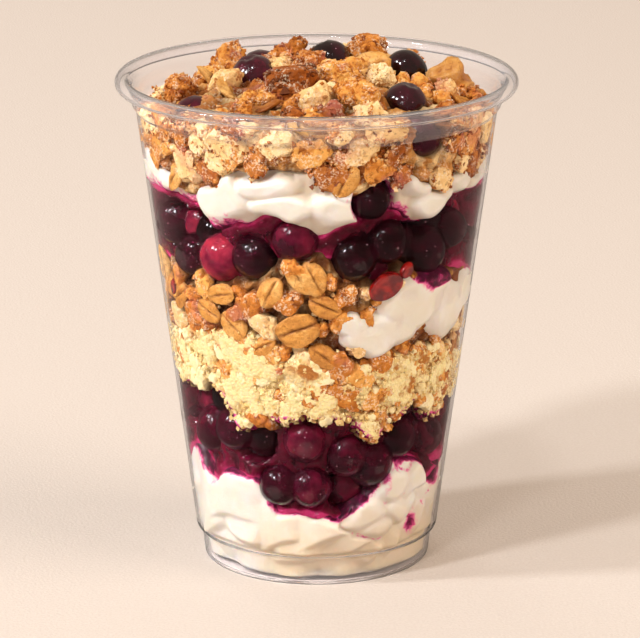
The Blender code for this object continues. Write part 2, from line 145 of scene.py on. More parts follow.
# Lamps: name, place and aim in metres, size, power, colour, and whether reflections show them
COOL = (0.94, 0.98, 1.0)
WARM = (1.0, 0.91, 0.80)
AIM = (0.0, 0.0, 0.06)
LAMPS = (
    ("window_left", (-1.76, -0.50, 1.50), AIM, (0.22, 0.34), 24.0, COOL, True),
    ("window_right", (-1.34, -1.22, 1.50), AIM, (0.22, 0.34), 24.0, COOL, True),
    ("window_top", (-0.35, -1.30, 2.20), AIM, (0.26, 0.20), 8.0, COOL, True),
    ("fill", (2.25, -0.95, 1.20), AIM, (1.6, 1.6), 44.0, WARM, False),
    ("backdrop", (-0.9, 1.7, 0.9), (-0.2, 0.75, 0.0), (0.8, 0.8), 6.5, COOL, False),
)

# The surroundings: their colour, their brightness, and what is left of it where it is dimmed
SURROUNDINGS = (1.0, 0.84, 0.68, 1.0)
BRIGHTNESS = 0.52
DIMMED_BRIGHTNESS = 0.02
FLOOR_RADIUS = 6.0

# How far reflections of the floor and the surroundings are dimmed: off the cup's outside, off
# what touches its wall, and off anything behind that
PLASTIC_DIMMING = 0.35
CONTACT_DIMMING = 0.3
FOOD_DIMMING = 0.9

# Clear plastic of the wall, of the rim and ledge, and of the foot: name, milky painted sheen, bending
# of light
PLASTICS = (
    ("clear_plastic", 0.0, 1.08),
    ("clear_plastic_worked", 0.04, 1.25),
    ("clear_plastic_foot", 0.03, 1.13),
)

# Wet skin and jelly: roughness, and the wet film over them
WET = 0.15
WET_FILM = {"Specular_IOR_Level": 0.1, "Coat_Weight": 1.0, "Coat_Roughness": 0.08}

# Colours of baked crumbs: their crowns, their body, and their cracks, which are darker as painted shade
GOLDEN = ((0.84, 0.42, 0.10), (0.58, 0.19, 0.026), (0.19, 0.04, 0.006))
BROWN = ((0.68, 0.26, 0.05), (0.36, 0.09, 0.012), (0.11, 0.025, 0.005))
PALE = ((0.94, 0.73, 0.40), (0.85, 0.54, 0.22), (0.52, 0.22, 0.07))
SPONGE = ((0.95, 0.84, 0.53), (0.91, 0.75, 0.38), (0.74, 0.48, 0.16))
NUT = ((0.66, 0.33, 0.09), (0.48, 0.19, 0.04), (0.24, 0.07, 0.015))

# The lines where the layers meet at the wall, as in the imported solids: the height at the centre
# of the cup, then the crests and dips round the wall as (azimuth, height)
CREAM_LOW_TOP = (24.0, (
    (-172, 25), (-150, 22), (-128, 27), (-106, 30), (-88, 26), (-70, 31), (-57, 24), (-45, 27.5),
    (-32, 27), (-17, 19), (0, 18.5), (11, 17), (24, 22), (37, 31.5), (50, 30), (65, 22.5),
    (84, 27), (103, 31), (124, 24), (146, 20), (166, 27)))
COMPOTE_LOW_TOP = (46.0, (
    (-168, 47), (-147, 43), (-126, 48), (-104, 51), (-84, 53), (-70, 48), (-52, 51), (-42, 49),
    (-33, 41), (-22, 44.5), (0, 44.5), (13, 44.5), (24, 39), (36, 43.5), (44, 47), (60, 41),
    (74, 45), (98, 49), (118, 43), (142, 41), (160, 46)))
CAKE_TOP = (60.0, (
    (-160, 60), (-130, 63), (-100, 60), (-80, 59), (-55, 62), (-32, 65), (-12, 61), (4, 57),
    (24, 56.5), (43, 59.5), (60, 57), (72, 53), (90, 55), (115, 60), (140, 64), (170, 61)))
GRANOLA_TOP = (80.0, (
    (-165, 80), (-140, 76), (-115, 79), (-92, 77), (-74, 80), (-58, 74.5), (-45, 76.5), (-27, 78),
    (-14, 83), (1, 85.5), (10, 81), (24, 78), (34, 81), (50, 75.5), (66, 77), (85, 75),
    (108, 80), (132, 76), (155, 82)))
COMPOTE_HIGH_TOP = (94.0, (
    (-170, 93), (-145, 96), (-120, 92), (-95, 96), (-72, 96), (-52, 95.5), (-40, 90), (-28, 92),
    (-16, 95.5), (0, 90), (13, 93.5), (28, 96), (40, 92), (56, 96.5), (80, 96.5), (105, 93),
    (130, 96), (158, 91)))
CREAM_HIGH_TOP = (105.0, (
    (-165, 104), (-140, 106), (-115, 101), (-92, 104), (-67, 103), (-50, 99), (-38, 101),
    (-28, 107), (-13, 108), (1, 107.5), (12, 102), (27, 107), (47, 101), (57, 103), (72, 99.5),
    (95, 105), (120, 101), (148, 107)))
CRUMBLE_TOP = (119.0, (
    (-150, 110), (-110, 110), (-80, 111), (-50, 115.5), (0, 116.5), (50, 115.5), (80, 111),
    (110, 110), (150, 110), (180, 112)))

# The spoonful of cream in the granola: its middle, its half width and half height, and how far
# its left end droops
SPOONFUL_AZIMUTH = 47.0
SPOONFUL_HALF = 40.0
SPOONFUL_HEIGHT = 69.0
SPOONFUL_RISE = 8.2
SPOONFUL_DROOP = 6.5

# Berries pressed to the wall, as (azimuth, height, tone), and those that are nodes of their own
BERRIES_LOW = ((-84, 38, 0.3), (-62, 36, 0.5), (-43, 38.5, 0.3), (-19, 25.5, 0.3), (-6, 37.5, 0.6),
               (-3, 25.2, 0.5), (15, 33.5, 0.4), (28, 30.5, 0.3), (43, 36.5, 0.2), (66, 34, 0.5),
               (86, 38, 0.3))
BERRIES_HIGH = ((-73, 88, 0.3), (-56, 81.5, 0.2), (-41, 82.5, 1.0), (-25, 84, 0.1), (-8, 89.5, 0.5),
                (15, 84.5, 0.0), (28, 88, 0.0), (48, 84.5, 0.1), (62, 87.5, 0.25), (82, 84, 0.3))
LOOSE_BERRIES = ("berry_back_left", "berry_back_right", "berry_front_right", "berry_behind",
                 "berry_front_left", "berry_far_side", "berry_under_rim", "berry_in_cream")

# Drops of red syrup at the wall, as (azimuth, height, length, turn in degrees)
SYRUP_DROPS = ((26, 77.6, 9.2, 24), (34, 81.0, 4.6, 50), (-66, 72.5, 5.0, 70), (118, 73.0, 6.0, 60),
               (-150, 74.0, 7.0, 80))

# Spooned folds of the low cream at the front: azimuth, height, tilt in degrees, length, width
FOLDS = (
    (-52, 21, 12, 30, 15), (-38, 13, -14, 18, 9), (-20, 13.5, 22, 16, 9), (-12, 7.5, 4, 15, 7),
    (6, 15, 18, 26, 7), (22, 12.5, 24, 20, 9), (34, 19, 34, 14, 8), (46, 24, -30, 10, 8),
    (42, 8.5, 66, 9, 5), (30, 7.0, 52, 10, 6), (58, 14, 75, 12, 7), (-66, 12, 30, 18, 9),
    (70, 20, 60, 14, 9), (-84, 20, 20, 20, 11),
)

# A drop of juice in the low cream, and a streak that rises to the right, as (azimuth, height,
# half width, half height)
DROP = (54.0, 12.7, 5.0, 3.4)
STREAK = (62.0, 18.0, 7.0, 1.6)
STREAK_SLOPE = 0.5

# Small curds of the low cream, front right, as (azimuth, height, half width, half height)
CURDS = (
    (25, 18.5, 6.0, 4.2), (37, 24.5, 6.4, 4.8), (43, 18.0, 7.0, 4.4), (54, 25.0, 6.4, 5.4),
    (31, 14.0, 6.0, 3.2),
)

# Soft lobes of the high cream, as (azimuth, height, half width, half height)
HIGH_LOBES = (
    (-64, 102.0, 9.0, 5.0), (-36, 99.5, 10.0, 7.4), (-18, 103.0, 10.0, 4.4), (-14, 97.0, 9.5, 4.4),
    (6, 97.0, 10.5, 5.4), (12, 103.0, 7.5, 4.4), (37, 102.5, 7.5, 5.0), (43, 96.5, 9.0, 4.2),
    (57, 101.0, 9.0, 5.4), (78, 100.0, 9.0, 6.6), (-82, 100.0, 9.0, 6.6),
)

# The spoonful's lobes, as (azimuth, height, half width, half height)
SPOONFUL_LOBES = (
    (22, 65.0, 8.2, 6.0), (40, 72.0, 12.0, 7.6), (62, 67.5, 11.0, 8.2), (76, 71.0, 8.0, 6.6),
    (33, 66.0, 6.5, 5.0), (12, 68.6, 4.0, 3.2), (50, 76.0, 8.0, 3.6),
)

# Oat flakes that lie flat on the wall, as (azimuth, height, turn in degrees, length)
FLAKES = (
    (-7, 67.5, 22, 11.2), (-6, 80.5, -55, 8.8), (-1, 80.5, -62, 8.8), (3, 73.5, -25, 8.5),
    (-37, 74.5, 15, 8.5), (-44, 69.5, -20, 8.0), (-33, 67.0, -40, 8.5), (3, 60.5, -35, 8.5),
    (-62, 71, 35, 8.5), (-21, 62.5, 30, 7.5), (-17, 76.5, 65, 8.5),
)

# Bits of crust in the cake, as (azimuth, height, half size)
CRUSTS = (
    (-17, 60.5, 3.6), (-6, 55.0, 2.8), (9, 57.0, 5.0), (18, 54.5, 4.8), (30, 51.0, 3.2),
    (-4, 49.0, 2.6), (46, 56.5, 2.8), (12, 49.5, 3.0), (-24, 57.0, 2.6), (60, 52.0, 2.8),
    (26, 58.0, 3.8), (3, 52.0, 3.4), (23, 49.0, 3.0), (-33, 62.0, 2.6),
)

# Baked clusters pressed on the wall among the flakes, as (azimuth, height, half size)
CLUSTERS = (
    (-23, 73.5, 4.8), (-29, 71.0, 3.8), (-19, 67.5, 4.2), (-47, 75.5, 3.6), (9, 69.0, 3.6),
    (-5, 60.0, 3.8), (11, 75.5, 3.4), (-54, 66.5, 4.0), (-38, 61.5, 3.6), (-11, 74.5, 3.6),
    (-27, 62.0, 3.2), (-68, 65.0, 3.8), (-62, 77.0, 3.2), (-9, 83.0, 2.6), (16, 62.0, 2.6),
)

# Larger crumbs against the wall under the rim, as (azimuth, height, half size, look)
WALL_PIECES = (
    (-48, 106.5, 5.6, "pale"), (46, 103.0, 4.4, "pale"), (9, 105.5, 4.6, "flake"),
    (-58, 113.5, 3.6, "brown"), (-49, 114.0, 3.4, "brown"), (-30, 112.5, 5.0, "pale"),
    (-14, 113.5, 5.0, "pale"), (-2, 111.5, 4.8, "golden"), (14, 112.5, 4.8, "pale"),
    (-38, 105.5, 3.0, "brown"), (-28, 111.0, 3.2, "golden"), (4, 106.0, 4.0, "brown"),
    (20, 107.5, 3.6, "golden"), (29, 105.0, 2.6, "brown"), (60, 109.5, 4.0, "golden"),
    (64, 105.0, 3.6, "brown"), (-66, 108.0, 4.6, "golden"), (60, 115.0, 3.0, "pale"),
    (72, 112.0, 4.2, "pale"), (-72, 113.0, 4.0, "pale"), (-20, 109.0, 3.6, "brown"),
)

# Pieces that stand out of the heap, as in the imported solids, each with its look
TOPPING_PIECES = (
    (-21.8, 22.0, 119.6, 5.2, "golden"), (-6.5, 25.0, 120.4, 4.8, "golden"),
    (11.2, 23.0, 121.2, 5.6, "golden"), (-2.6, 5.0, 122.4, 5.0, "brown"),
    (-8.0, 4.5, 122.0, 4.2, "pale"), (-7.0, -17.0, 120.2, 7.2, "brown"),
    (-15.0, -21.0, 118.8, 4.6, "golden"), (6.2, -6.0, 121.8, 5.6, "golden"),
    (9.2, -21.5, 119.0, 6.0, "golden"), (15.0, -4.0, 121.0, 4.4, "pale"),
    (13.0, 3.5, 122.6, 5.6, "flake"), (-21.2, -12.5, 119.4, 5.4, "flake"),
    (-33.2, -1.5, 117.8, 5.2, "brown"), (-26.2, 4.5, 119.4, 5.4, "flake"),
    (32.5, 3.5, 118.2, 5.0, "nut"), (31.8, -7.0, 117.4, 3.6, "pale"),
    (37.2, -1.0, 115.6, 3.4, "golden"), (23.6, 24.0, 117.8, 4.6, "golden"),
    (-1.0, -31.0, 116.2, 5.2, "golden"), (-24.0, -25.5, 114.8, 4.8, "pale"),
    (10.0, -34.0, 114.0, 4.4, "pale"), (1.0, 36.0, 113.8, 4.8, "golden"),
    (-33.5, 13.0, 113.6, 4.4, "pale"),
)


# --- Numbers -----------------------------------------------------------------------------


def ease(share):
    """From 0 to 1 with soft ends."""
    share = np.clip(share, 0.0, 1.0)
    return share * share * (3.0 - 2.0 * share)


def fade(low, high, value):
    """0 where a value is low and 1 where it is high, with soft ends. low may be the larger."""
    return ease((value - low) / (high - low))


def polar(azimuth, radius, height):
    """Points at those azimuths, as an array with X, Y and Z last."""
    turn = np.radians(azimuth)
    return np.stack(np.broadcast_arrays(radius * np.sin(turn), -radius * np.cos(turn), height), -1)


def turned(azimuth, at):
    """How far an azimuth lies past another, from -180 to 180 degrees."""
    return (azimuth - at + 180.0) % 360.0 - 180.0


def azimuth_of(points):
    """Azimuth of points, from -180 to 180 degrees."""
    return np.degrees(np.arctan2(points[..., 0], -points[..., 1]))


def inner_wall():
    """The inside of the cup as (radius, height), from the edge of the floor up to the neck."""
    return [
        (PANEL_RADIUS - 0.2, PANEL_HEIGHT + WALL),
        (FOOT_RADIUS - FOOT_FLAT - WALL, WALL),
        (FOOT_RADIUS - WALL, WALL + 0.4),
        (FOOT_RADIUS + 0.7 - WALL, FOOT_HEIGHT + 0.2),
        (SHOULDER_RADIUS - WALL, SHOULDER_HEIGHT + 0.4),
        (STACK_RADIUS - WALL, STACK_HEIGHT),
        (STACK_RADIUS + STACK_STEP - WALL, STACK_HEIGHT + 0.9),
        (STACK_RADIUS + STACK_STEP + 0.3 - WALL, NECK_HEIGHT),
    ]


def wall_radius(height):
    """Radius of the wall's inside at a height."""
    radii, heights = zip(*inner_wall()[2:])
    return np.interp(height, heights, radii)


def wall_arc(height):
    """Length of one degree round the wall at a height."""
    return wall_radius(height) * math.radians(1.0)


def centre_of(node):
    """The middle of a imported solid."""
    return sum(np.array(corner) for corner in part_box(node)) / 2.0 / MM


def any_turn(draw):
    """A random turn about each axis."""
    return Euler([draw.uniform(0.0, FULL_TURN) for _ in range(3)])


def wall_line(line, azimuth):
    """Height at the wall of a line between layers: eased from each crest to the next dip."""
    stops = line[1]
    ring = [(stops[-1][0] - 360, stops[-1][1]), *stops, (stops[0][0] + 360, stops[0][1])]
    at, heights = (np.array(values, float) for values in zip(*ring))
    azimuth = turned(np.asarray(azimuth, float), 0.0)
    k = np.clip(np.searchsorted(at, azimuth, side="right") - 1, 0, len(at) - 2)
    return heights[k] + (heights[k + 1] - heights[k]) * ease((azimuth - at[k]) / (at[k + 1] - at[k]))


def surface(line, azimuth, share, power=1.6):
    """Height of the same surface inside the cup. share is 0 on the axis and 1 at the wall."""
    return line[0] + (wall_line(line, azimuth) - line[0]) * share ** power


def heap_top(azimuth, share):
    """Height of the heap's top, without its pieces."""
    return surface(CRUMBLE_TOP, azimuth, share, power=3.0)


def hashed(cells, seed):
    """Three random numbers from 0 to 1 for each whole-number cell."""
    mixed = (cells[..., 0] * 73856093) ^ (cells[..., 1] * 19349663) ^ (cells[..., 2] * 83492791)
    mixed = (mixed ^ (seed * 40503 + 12345)) & 0xFFFFFFFF
    mixed = ((mixed ^ (mixed >> 15)) * 2246822519) & 0xFFFFFFFF
    mixed = ((mixed ^ (mixed >> 13)) * 3266489917) & 0xFFFFFFFF
    mixed = mixed ^ (mixed >> 16)
    return np.stack([(mixed >> shift & 0x3FF) / 1023.0 for shift in (0, 10, 20)], -1)


def noise(points, size, seed=0):
    """Smooth noise from -1 to 1, with features of that size."""
    scaled = points / size
    base = np.floor(scaled).astype(np.int64)
    part = ease(scaled - base)
    total = np.zeros(points.shape[:-1])
    for corner in itertools.product((0, 1), repeat=3):
        weight = np.prod(np.where(np.array(corner, bool), part, 1.0 - part), axis=-1)
        total += weight * hashed(base + np.array(corner), seed)[..., 0]
    return total * 2.0 - 1.0


def cells(points, size, seed=0):
    """Distance to the nearest of scattered points that are a size apart, and its random number."""
    scaled = points / size
    base = np.floor(scaled).astype(np.int64)
    nearest = np.full(points.shape[:-1], 9.0)
    owner = np.zeros(points.shape[:-1])
    for corner in itertools.product((-1, 0, 1), repeat=3):
        cell = base + np.array(corner)
        draw = hashed(cell, seed)
        distance = np.linalg.norm(scaled - cell - 0.15 - 0.7 * draw, axis=-1)
        closer = distance < nearest
        nearest = np.where(closer, distance, nearest)
        owner = np.where(closer, draw[..., 2], owner)
    return nearest, owner


def lumps(points, size, seed=0):
    """Round lumps of that size: 1 on a crown and 0 in the crack between two of them."""
    distance, _ = cells(points, size, seed)
    return np.sqrt(np.clip(1.0 - 1.1 * distance ** 2, 0.0, 1.0))


def crumbly(points, seed, scales):
    """How far rough baked lumps stand out, and a random number for each of the largest.

    scales holds the size of each kind of lump and how far it stands out.
    """
    stand = np.zeros(points.shape[:-1])
    tones = []
    for k, (size, height) in enumerate(scales):
        warped = points + 0.28 * size * np.stack([
            noise(points, 0.42 * size, seed + 7 * k + axis) for axis in range(3)], -1)
        distance, owner = cells(warped, size, seed + 7 * k + 3)
        stand += height * np.clip(1.05 - distance, 0.0, 1.0) ** 0.8
        tones.append(owner)
    return stand, tones[0]


# --- Meshes ------------------------------------------------------------------------------


def mesh_object(name, points, faces, values, smooth=True):
    """An object from points in millimetres, with named numbers for each point."""
    mesh = bpy.data.meshes.new(name)
    mesh.from_pydata((points * MM).tolist(), [], faces)
    mesh.polygons.foreach_set("use_smooth", [smooth] * len(mesh.polygons))
    for label, numbers in values.items():
        layer = mesh.attributes.new(label, "FLOAT", "POINT")
        layer.data.foreach_set("value", np.asarray(numbers, np.float32).ravel())
    mesh.validate()
    made = bpy.data.objects.new(name, mesh)
    bpy.context.scene.collection.objects.link(made)
    return made


def grid_faces(rows, columns, wrap=True):
    """Faces of a grid of points, closed round its columns."""
    row, column = np.meshgrid(np.arange(rows - 1), np.arange(columns if wrap else columns - 1),
                              indexing="ij")
    after = (column + 1) % columns
    return np.stack([row * columns + column, row * columns + after,
                     (row + 1) * columns + after, (row + 1) * columns + column], -1).reshape(-1, 4)


def lathe_grid(name, rows, values, smooth=True):
    """A closed body from rings of points given from the bottom up, with a pole at each end.

    rows has the shape (rings, columns, 3). values hold one number for each of those points.
    """
    count, columns = rows.shape[:2]
    points = np.concatenate([rows.reshape(-1, 3), rows[:1].mean(axis=1), rows[-1:].mean(axis=1)])
    along = np.arange(columns)
    after = (along + 1) % columns
    low = np.stack([np.full(columns, count * columns), after, along], -1)
    last = (count - 1) * columns
    high = np.stack([np.full(columns, count * columns + 1), last + along, last + after], -1)
    faces = [*grid_faces(count, columns).tolist(), *low.tolist(), *high.tolist()]
    padded = {label: np.concatenate([np.asarray(numbers).ravel(), [0.0, 0.0]])
              for label, numbers in values.items()}
    return mesh_object(name, points, faces, padded, smooth)


class Heap:
    """Many small shapes gathered into one mesh, each with its own random tone and with painted shade
    where it lies far inside the food.

    A heap that isn't smooth shows each face, which gives baked crumbs their sandy grain.
    """

    def __init__(self, name, smooth=True):
        self.name = name
        self.smooth = smooth
        self.points = []
        self.faces = []
        self.values = []
        self.count = 0

    def add(self, shape, place, turn, scale, tone):
        """shape is (points, faces, crease), and scale one number or three."""
        points, faces, crease = shape
        rotation = np.array(turn.to_matrix())
        moved = (points * np.asarray(scale)) @ rotation.T + np.asarray(place)
        moved = inside_wall(moved, REACH * (0.3 + 0.7 * tone))
        self.points.append(moved)
        self.faces.append(faces + self.count)
        # Each point keeps its tone, its crease and its share of painted shade by how far it lies inside
        # the food.
        self.values.append(np.stack([np.full(len(points), tone), crease, depth_shade_share(moved)], -1))
        self.count += len(points)

    def crowns(self, draw, count):
        """Random points on the upper sides of the shapes."""
        found = []
        while len(found) < count:
            points = draw.choice(self.points)
            point = points[draw.randrange(len(points))]
            if point[2] > points[:, 2].mean() + 0.25 * np.ptp(points[:, 2]):
                found.append(point)
        return found

    def build(self):
        values = np.concatenate(self.values)
        spread = {"tone": values[:, 0], "crease": values[:, 1], "depth_shade": values[:, 2]}
        return mesh_object(self.name, np.concatenate(self.points),
                           np.concatenate(self.faces).tolist(), spread, self.smooth)


@functools.cache
def ball(subdivisions):
    """A unit icosphere's points and triangles."""
    bm = bmesh.new()
    bmesh.ops.create_icosphere(bm, subdivisions=subdivisions, radius=1.0)
    points = np.array([vertex.co for vertex in bm.verts])
    faces = np.array([[vertex.index for vertex in face.verts] for face in bm.faces])
    bm.free()
    return points, faces


def depth_shade_share(points):
    """Share of painted shade by how far points lie in the food: 0 near the wall or the top of the heap,
    1 well inside.
    """
    radius = np.hypot(points[..., 0], points[..., 1])
    behind = wall_radius(points[..., 2]) - radius
    share = np.clip(radius / HEAP_RADIUS, 0.0, 1.0)
    under = heap_top(azimuth_of(points), share) - points[..., 2]
    return fade(0.4, 3.4, behind) * fade(-3.0, 1.6, under)


def inside_wall(points, reach):
    """Points moved back onto the wall where they would pass through it, which flattens a piece
    there, and held under the heap's limit."""
    radius = np.maximum(np.hypot(points[:, 0], points[:, 1]), 1e-6)
    limit = np.minimum(wall_radius(points[:, 2]) + reach, radius)
    limit = np.where(points[:, 2] > NECK_HEIGHT, radius, limit)
    fitted = points.copy()
    fitted[:, 0] *= limit / radius
    fitted[:, 1] *= limit / radius
    spare = HEAP_LIMIT - HEAP_BEND
    over = np.clip(fitted[:, 2] - HEAP_BEND, 0.0, None)
    fitted[:, 2] = np.minimum(fitted[:, 2], HEAP_BEND) + spare * np.tanh(over / spare)
    return fitted


# --- Shapes of the food ------------------------------------------------------------------


def crumb_shape(seed, subdivisions):
    """A rough grain of radius about 1, with cracks in it that its crease marks for painted shade."""
    points, faces = ball(subdivisions)
    offset = np.array([seed * 7.3, seed * 2.9, seed * 5.1])
    stand, _ = crumbly(points + offset, seed, ((0.9, 0.5), (0.4, 0.25)))
    grow = 0.42 + stand + 0.22 * noise(points + offset, 0.9, seed + 2)
    return points * grow[:, None], faces, np.clip(1.0 - stand / 0.6, 0.0, 1.0)


def grain_shape(seed):
    """An angular grain of radius about 1 with eight faces, of one of a few tones."""
    draw = random.Random(seed)
    corners = np.array([(1, 0, 0), (0, 1, 0), (-1, 0, 0), (0, -1, 0), (0, 0, 1), (0, 0, -1)], float)
    upper = [(k, (k + 1) % 4, 4) for k in range(4)]
    faces = np.array([*upper, *[(b, a, 5) for a, b, _ in upper]])
    shift = np.array([[draw.uniform(-0.35, 0.35) for _ in range(3)] for _ in corners])
    return 1.1 * corners + shift, faces, np.full(len(corners), draw.uniform(0.0, 0.75))


def sprinkle(heap, points, shapes, draw, count, deepest, sizes):
    """Grains added to a heap, stuck on those of the points that are within a depth of the wall."""
    near = points[np.hypot(points[:, 0], points[:, 1]) > wall_radius(points[:, 2]) - deepest]
    for _ in range(count):
        place = near[draw.randrange(len(near))] + [draw.uniform(-0.4, 0.4) for _ in range(3)]
        turn = any_turn(draw)
        heap.add(draw.choice(shapes), place, turn, draw.uniform(*sizes), draw.random())


def cluster_shape(seed, subdivisions, fineness, grains):
    """A baked cluster of radius about 1: a few lobes, with rough crumbs of a fineness over them
    and angular grains stuck on."""
    draw = random.Random(seed)
    ways, faces = ball(subdivisions)
    reach = np.full(len(ways), 0.46)
    for _ in range(6):
        middle = Vector([draw.gauss(0.0, 1.0) for _ in range(3)]).normalized()
        middle = middle * draw.uniform(0.3, 0.62)
        radius = draw.uniform(0.22, 0.42)
        towards = ways @ np.array(middle)
        inside = radius ** 2 - middle.length_squared + towards ** 2
        lobe = towards + np.sqrt(np.clip(inside, 0.0, None))
        reach = np.maximum(reach, np.where((inside > 0.0) & (towards > 0.0), lobe, 0.0))
    offset = np.array([seed * 7.3, seed * 2.9, seed * 5.1])
    core = ways * reach[:, None]
    scales = [(size * fineness, out * fineness) for size, out in ((2.6, 1.5), (1.1, 0.8), (0.5, 0.3))]
    stand, _ = crumbly(core + offset, seed, scales)
    rough = core + ways * (stand - 0.9 * fineness)[:, None]
    # The crease marks the cracks for painted shade; a grain's crease is its random tone instead.
    parts = [(rough, faces, np.clip(1.15 - stand / (1.5 * fineness), 0.0, 1.0))]
    kinds = [grain_shape(seed * 13 + k) for k in range(9)]
    for at in draw.sample(range(len(ways)), grains):
        points, small_faces, crack = draw.choice(kinds)
        grown = fineness * draw.choice((0.28, 0.4, 0.55, 0.8))
        stretch = np.array([grown, grown * draw.uniform(0.7, 1.0), grown * draw.uniform(0.6, 0.9)])
        turn = np.array(any_turn(draw).to_matrix())
        parts.append(((points * stretch) @ turn.T + rough[at] * 0.97, small_faces, crack))
    counts = np.cumsum([0, *[len(points) for points, _, _ in parts]])
    return (np.concatenate([points for points, _, _ in parts]),
            np.concatenate([shape_faces + at for (_, shape_faces, _), at in zip(parts, counts)]),
            np.concatenate([crack for _, _, crack in parts]))


def nut_shape(seed, subdivisions):
    """A wrinkled piece of nut with sunken folds between its lobes, whose crease marks them for painted
    shade.
    """
    points, faces = ball(subdivisions)
    offset = np.array([seed * 3.7, seed * 1.9, seed * 4.3])
    warped = points + 0.35 * noise(points + offset, 0.7, seed)[:, None]
    ridge = 1.0 - np.abs(noise(warped + offset, 0.62, seed + 1))
    grow = 0.62 + 0.42 * ridge ** 2 + 0.16 * noise(points + offset, 1.2, seed + 2)
    return points * grow[:, None], faces, 1.0 - ridge


def oat_shape(seed, rings=8, sides=32):
    """A rolled oat of length 1: a curled oval flake with a crease along it and a ragged edge."""
    draw = random.Random(seed)
    angle = np.linspace(0.0, 2.0 * math.pi, sides, endpoint=False)
    around = np.stack([np.cos(angle) * 2, np.sin(angle) * 2, angle * 0 + seed], -1)
    edge = 1.0 + 0.1 * noise(around, 1.1, seed) + 0.06 * noise(around, 0.35, seed + 1)
    share = ((np.arange(1, rings + 1) / rings) ** 0.8)[:, None]
    x = 0.5 * share * edge * np.cos(angle)
    y = 0.5 * draw.uniform(0.58, 0.78) * share * edge * np.sin(angle)
    swell = 0.08 * np.sqrt(np.clip(1.0 - share ** 2.6, 0.0, 1.0)) + 0.01
    wander = 0.015 * noise(np.stack([x * 6, x * 0, x * 0 + seed], -1), 1.0, seed + 7)
    strength = draw.choice((0.7, 1.0, 1.0))
    groove = strength * np.exp(-((y - wander) / 0.032) ** 2) * fade(0.5, 0.36, np.abs(x + 0.03))
    lips = np.exp(-((np.abs(y) - 0.09) / 0.05) ** 2) * fade(0.48, 0.3, np.abs(x))
    ripple = 0.03 * noise(np.stack([x * 9, y * 9, x * 0 + seed], -1), 1.0, seed + 3)
    bend = draw.uniform(-0.2, 0.5) * x ** 2 + draw.uniform(-0.5, 0.7) * y ** 2
    bend = bend + draw.uniform(-0.5, 0.5) * x * y
    raised = swell * (1.0 - 0.9 * groove) + 0.025 * lips
    top = np.stack([x, y, raised + ripple * (share < 0.99) + bend], -1)
    under = np.stack([x, y, -0.75 * swell + bend], -1)[[-1, rings // 2]]
    rows = np.concatenate([top, under])
    brown_edge = 0.45 * fade(0.78, 1.0, share) * (0.6 + noise(around, 0.9, seed + 4))
    crease = np.concatenate([np.clip(groove + brown_edge, 0.0, 1.0), np.zeros_like(groove[:2])])
    return capped_rings(rows, crease, (0.0, 0.0, 0.02), (0.0, 0.0, -0.06))


def berry_points(seed, rings, sides):
    """A cooked blueberry of radius 1 with its crown at +Z: rings of points, and their crease."""
    across, down = np.meshgrid(np.linspace(0.0, 2.0 * math.pi, sides, endpoint=False),
                               np.linspace(0.02, math.pi - 0.02, rings))
    unit = np.stack([np.sin(down) * np.cos(across), np.sin(down) * np.sin(across), np.cos(down)], -1)
    offset = np.array([seed * 4.1, seed * 1.7, seed * 6.3])
    grow = 1.0 + 0.06 * noise(unit + offset, 1.3, seed) + 0.022 * noise(unit + offset, 0.5, seed + 1)
    cup = np.exp(-(down / 0.24) ** 2)
    lobes = 0.5 + 0.5 * np.cos(5.0 * across + seed)
    rim = np.exp(-((down - 0.4) / 0.09) ** 2) * (0.45 + 0.55 * lobes)
    grow += 0.06 * rim - 0.1 * cup
    shaped = unit * grow[..., None]
    shaped[..., 2] *= 0.92
    crease = np.clip(cup + 0.5 * rim, 0.0, 1.0)
    return shaped, crease


def capped_rings(rows, crease, first, last):
    """Points, triangles and creases of rings given from the top down, with a pole at each end."""
    count, columns = rows.shape[:2]
    quads = grid_faces(count, columns)[:, ::-1]
    along = np.arange(columns)
    after = (along + 1) % columns
    end = (count - 1) * columns
    cap = np.stack([np.full(columns, count * columns), along, after], -1)
    base = np.stack([np.full(columns, count * columns + 1), end + after, end + along], -1)
    faces = np.concatenate([quads[:, [0, 1, 2]], quads[:, [0, 2, 3]], cap, base])
    points = np.concatenate([rows.reshape(-1, 3), [first], [last]])
    return points, faces, np.concatenate([crease.ravel(), [1.0, 0.0]])


def berry_shape(seed, rings=20, sides=30):
    """A cooked blueberry as a shape for a heap."""
    rows, crease = berry_points(seed, rings, sides)
    return capped_rings(rows, crease, rows[0].mean(axis=0), rows[-1].mean(axis=0))


# --- Materials ---------------------------------------------------------------------------


def feed(tree, socket, value):
    """Links a node's output to a socket, or sets a plain value on it."""
    if isinstance(value, bpy.types.NodeSocket):
        tree.links.new(value, socket)
    else:
        socket.default_value = value


def math_node(tree, operation, *values):
    made = tree.nodes.new("ShaderNodeMath")
    made.operation = operation
    for socket, value in zip(made.inputs, values):
        feed(tree, socket, value)
    return made.outputs[0]


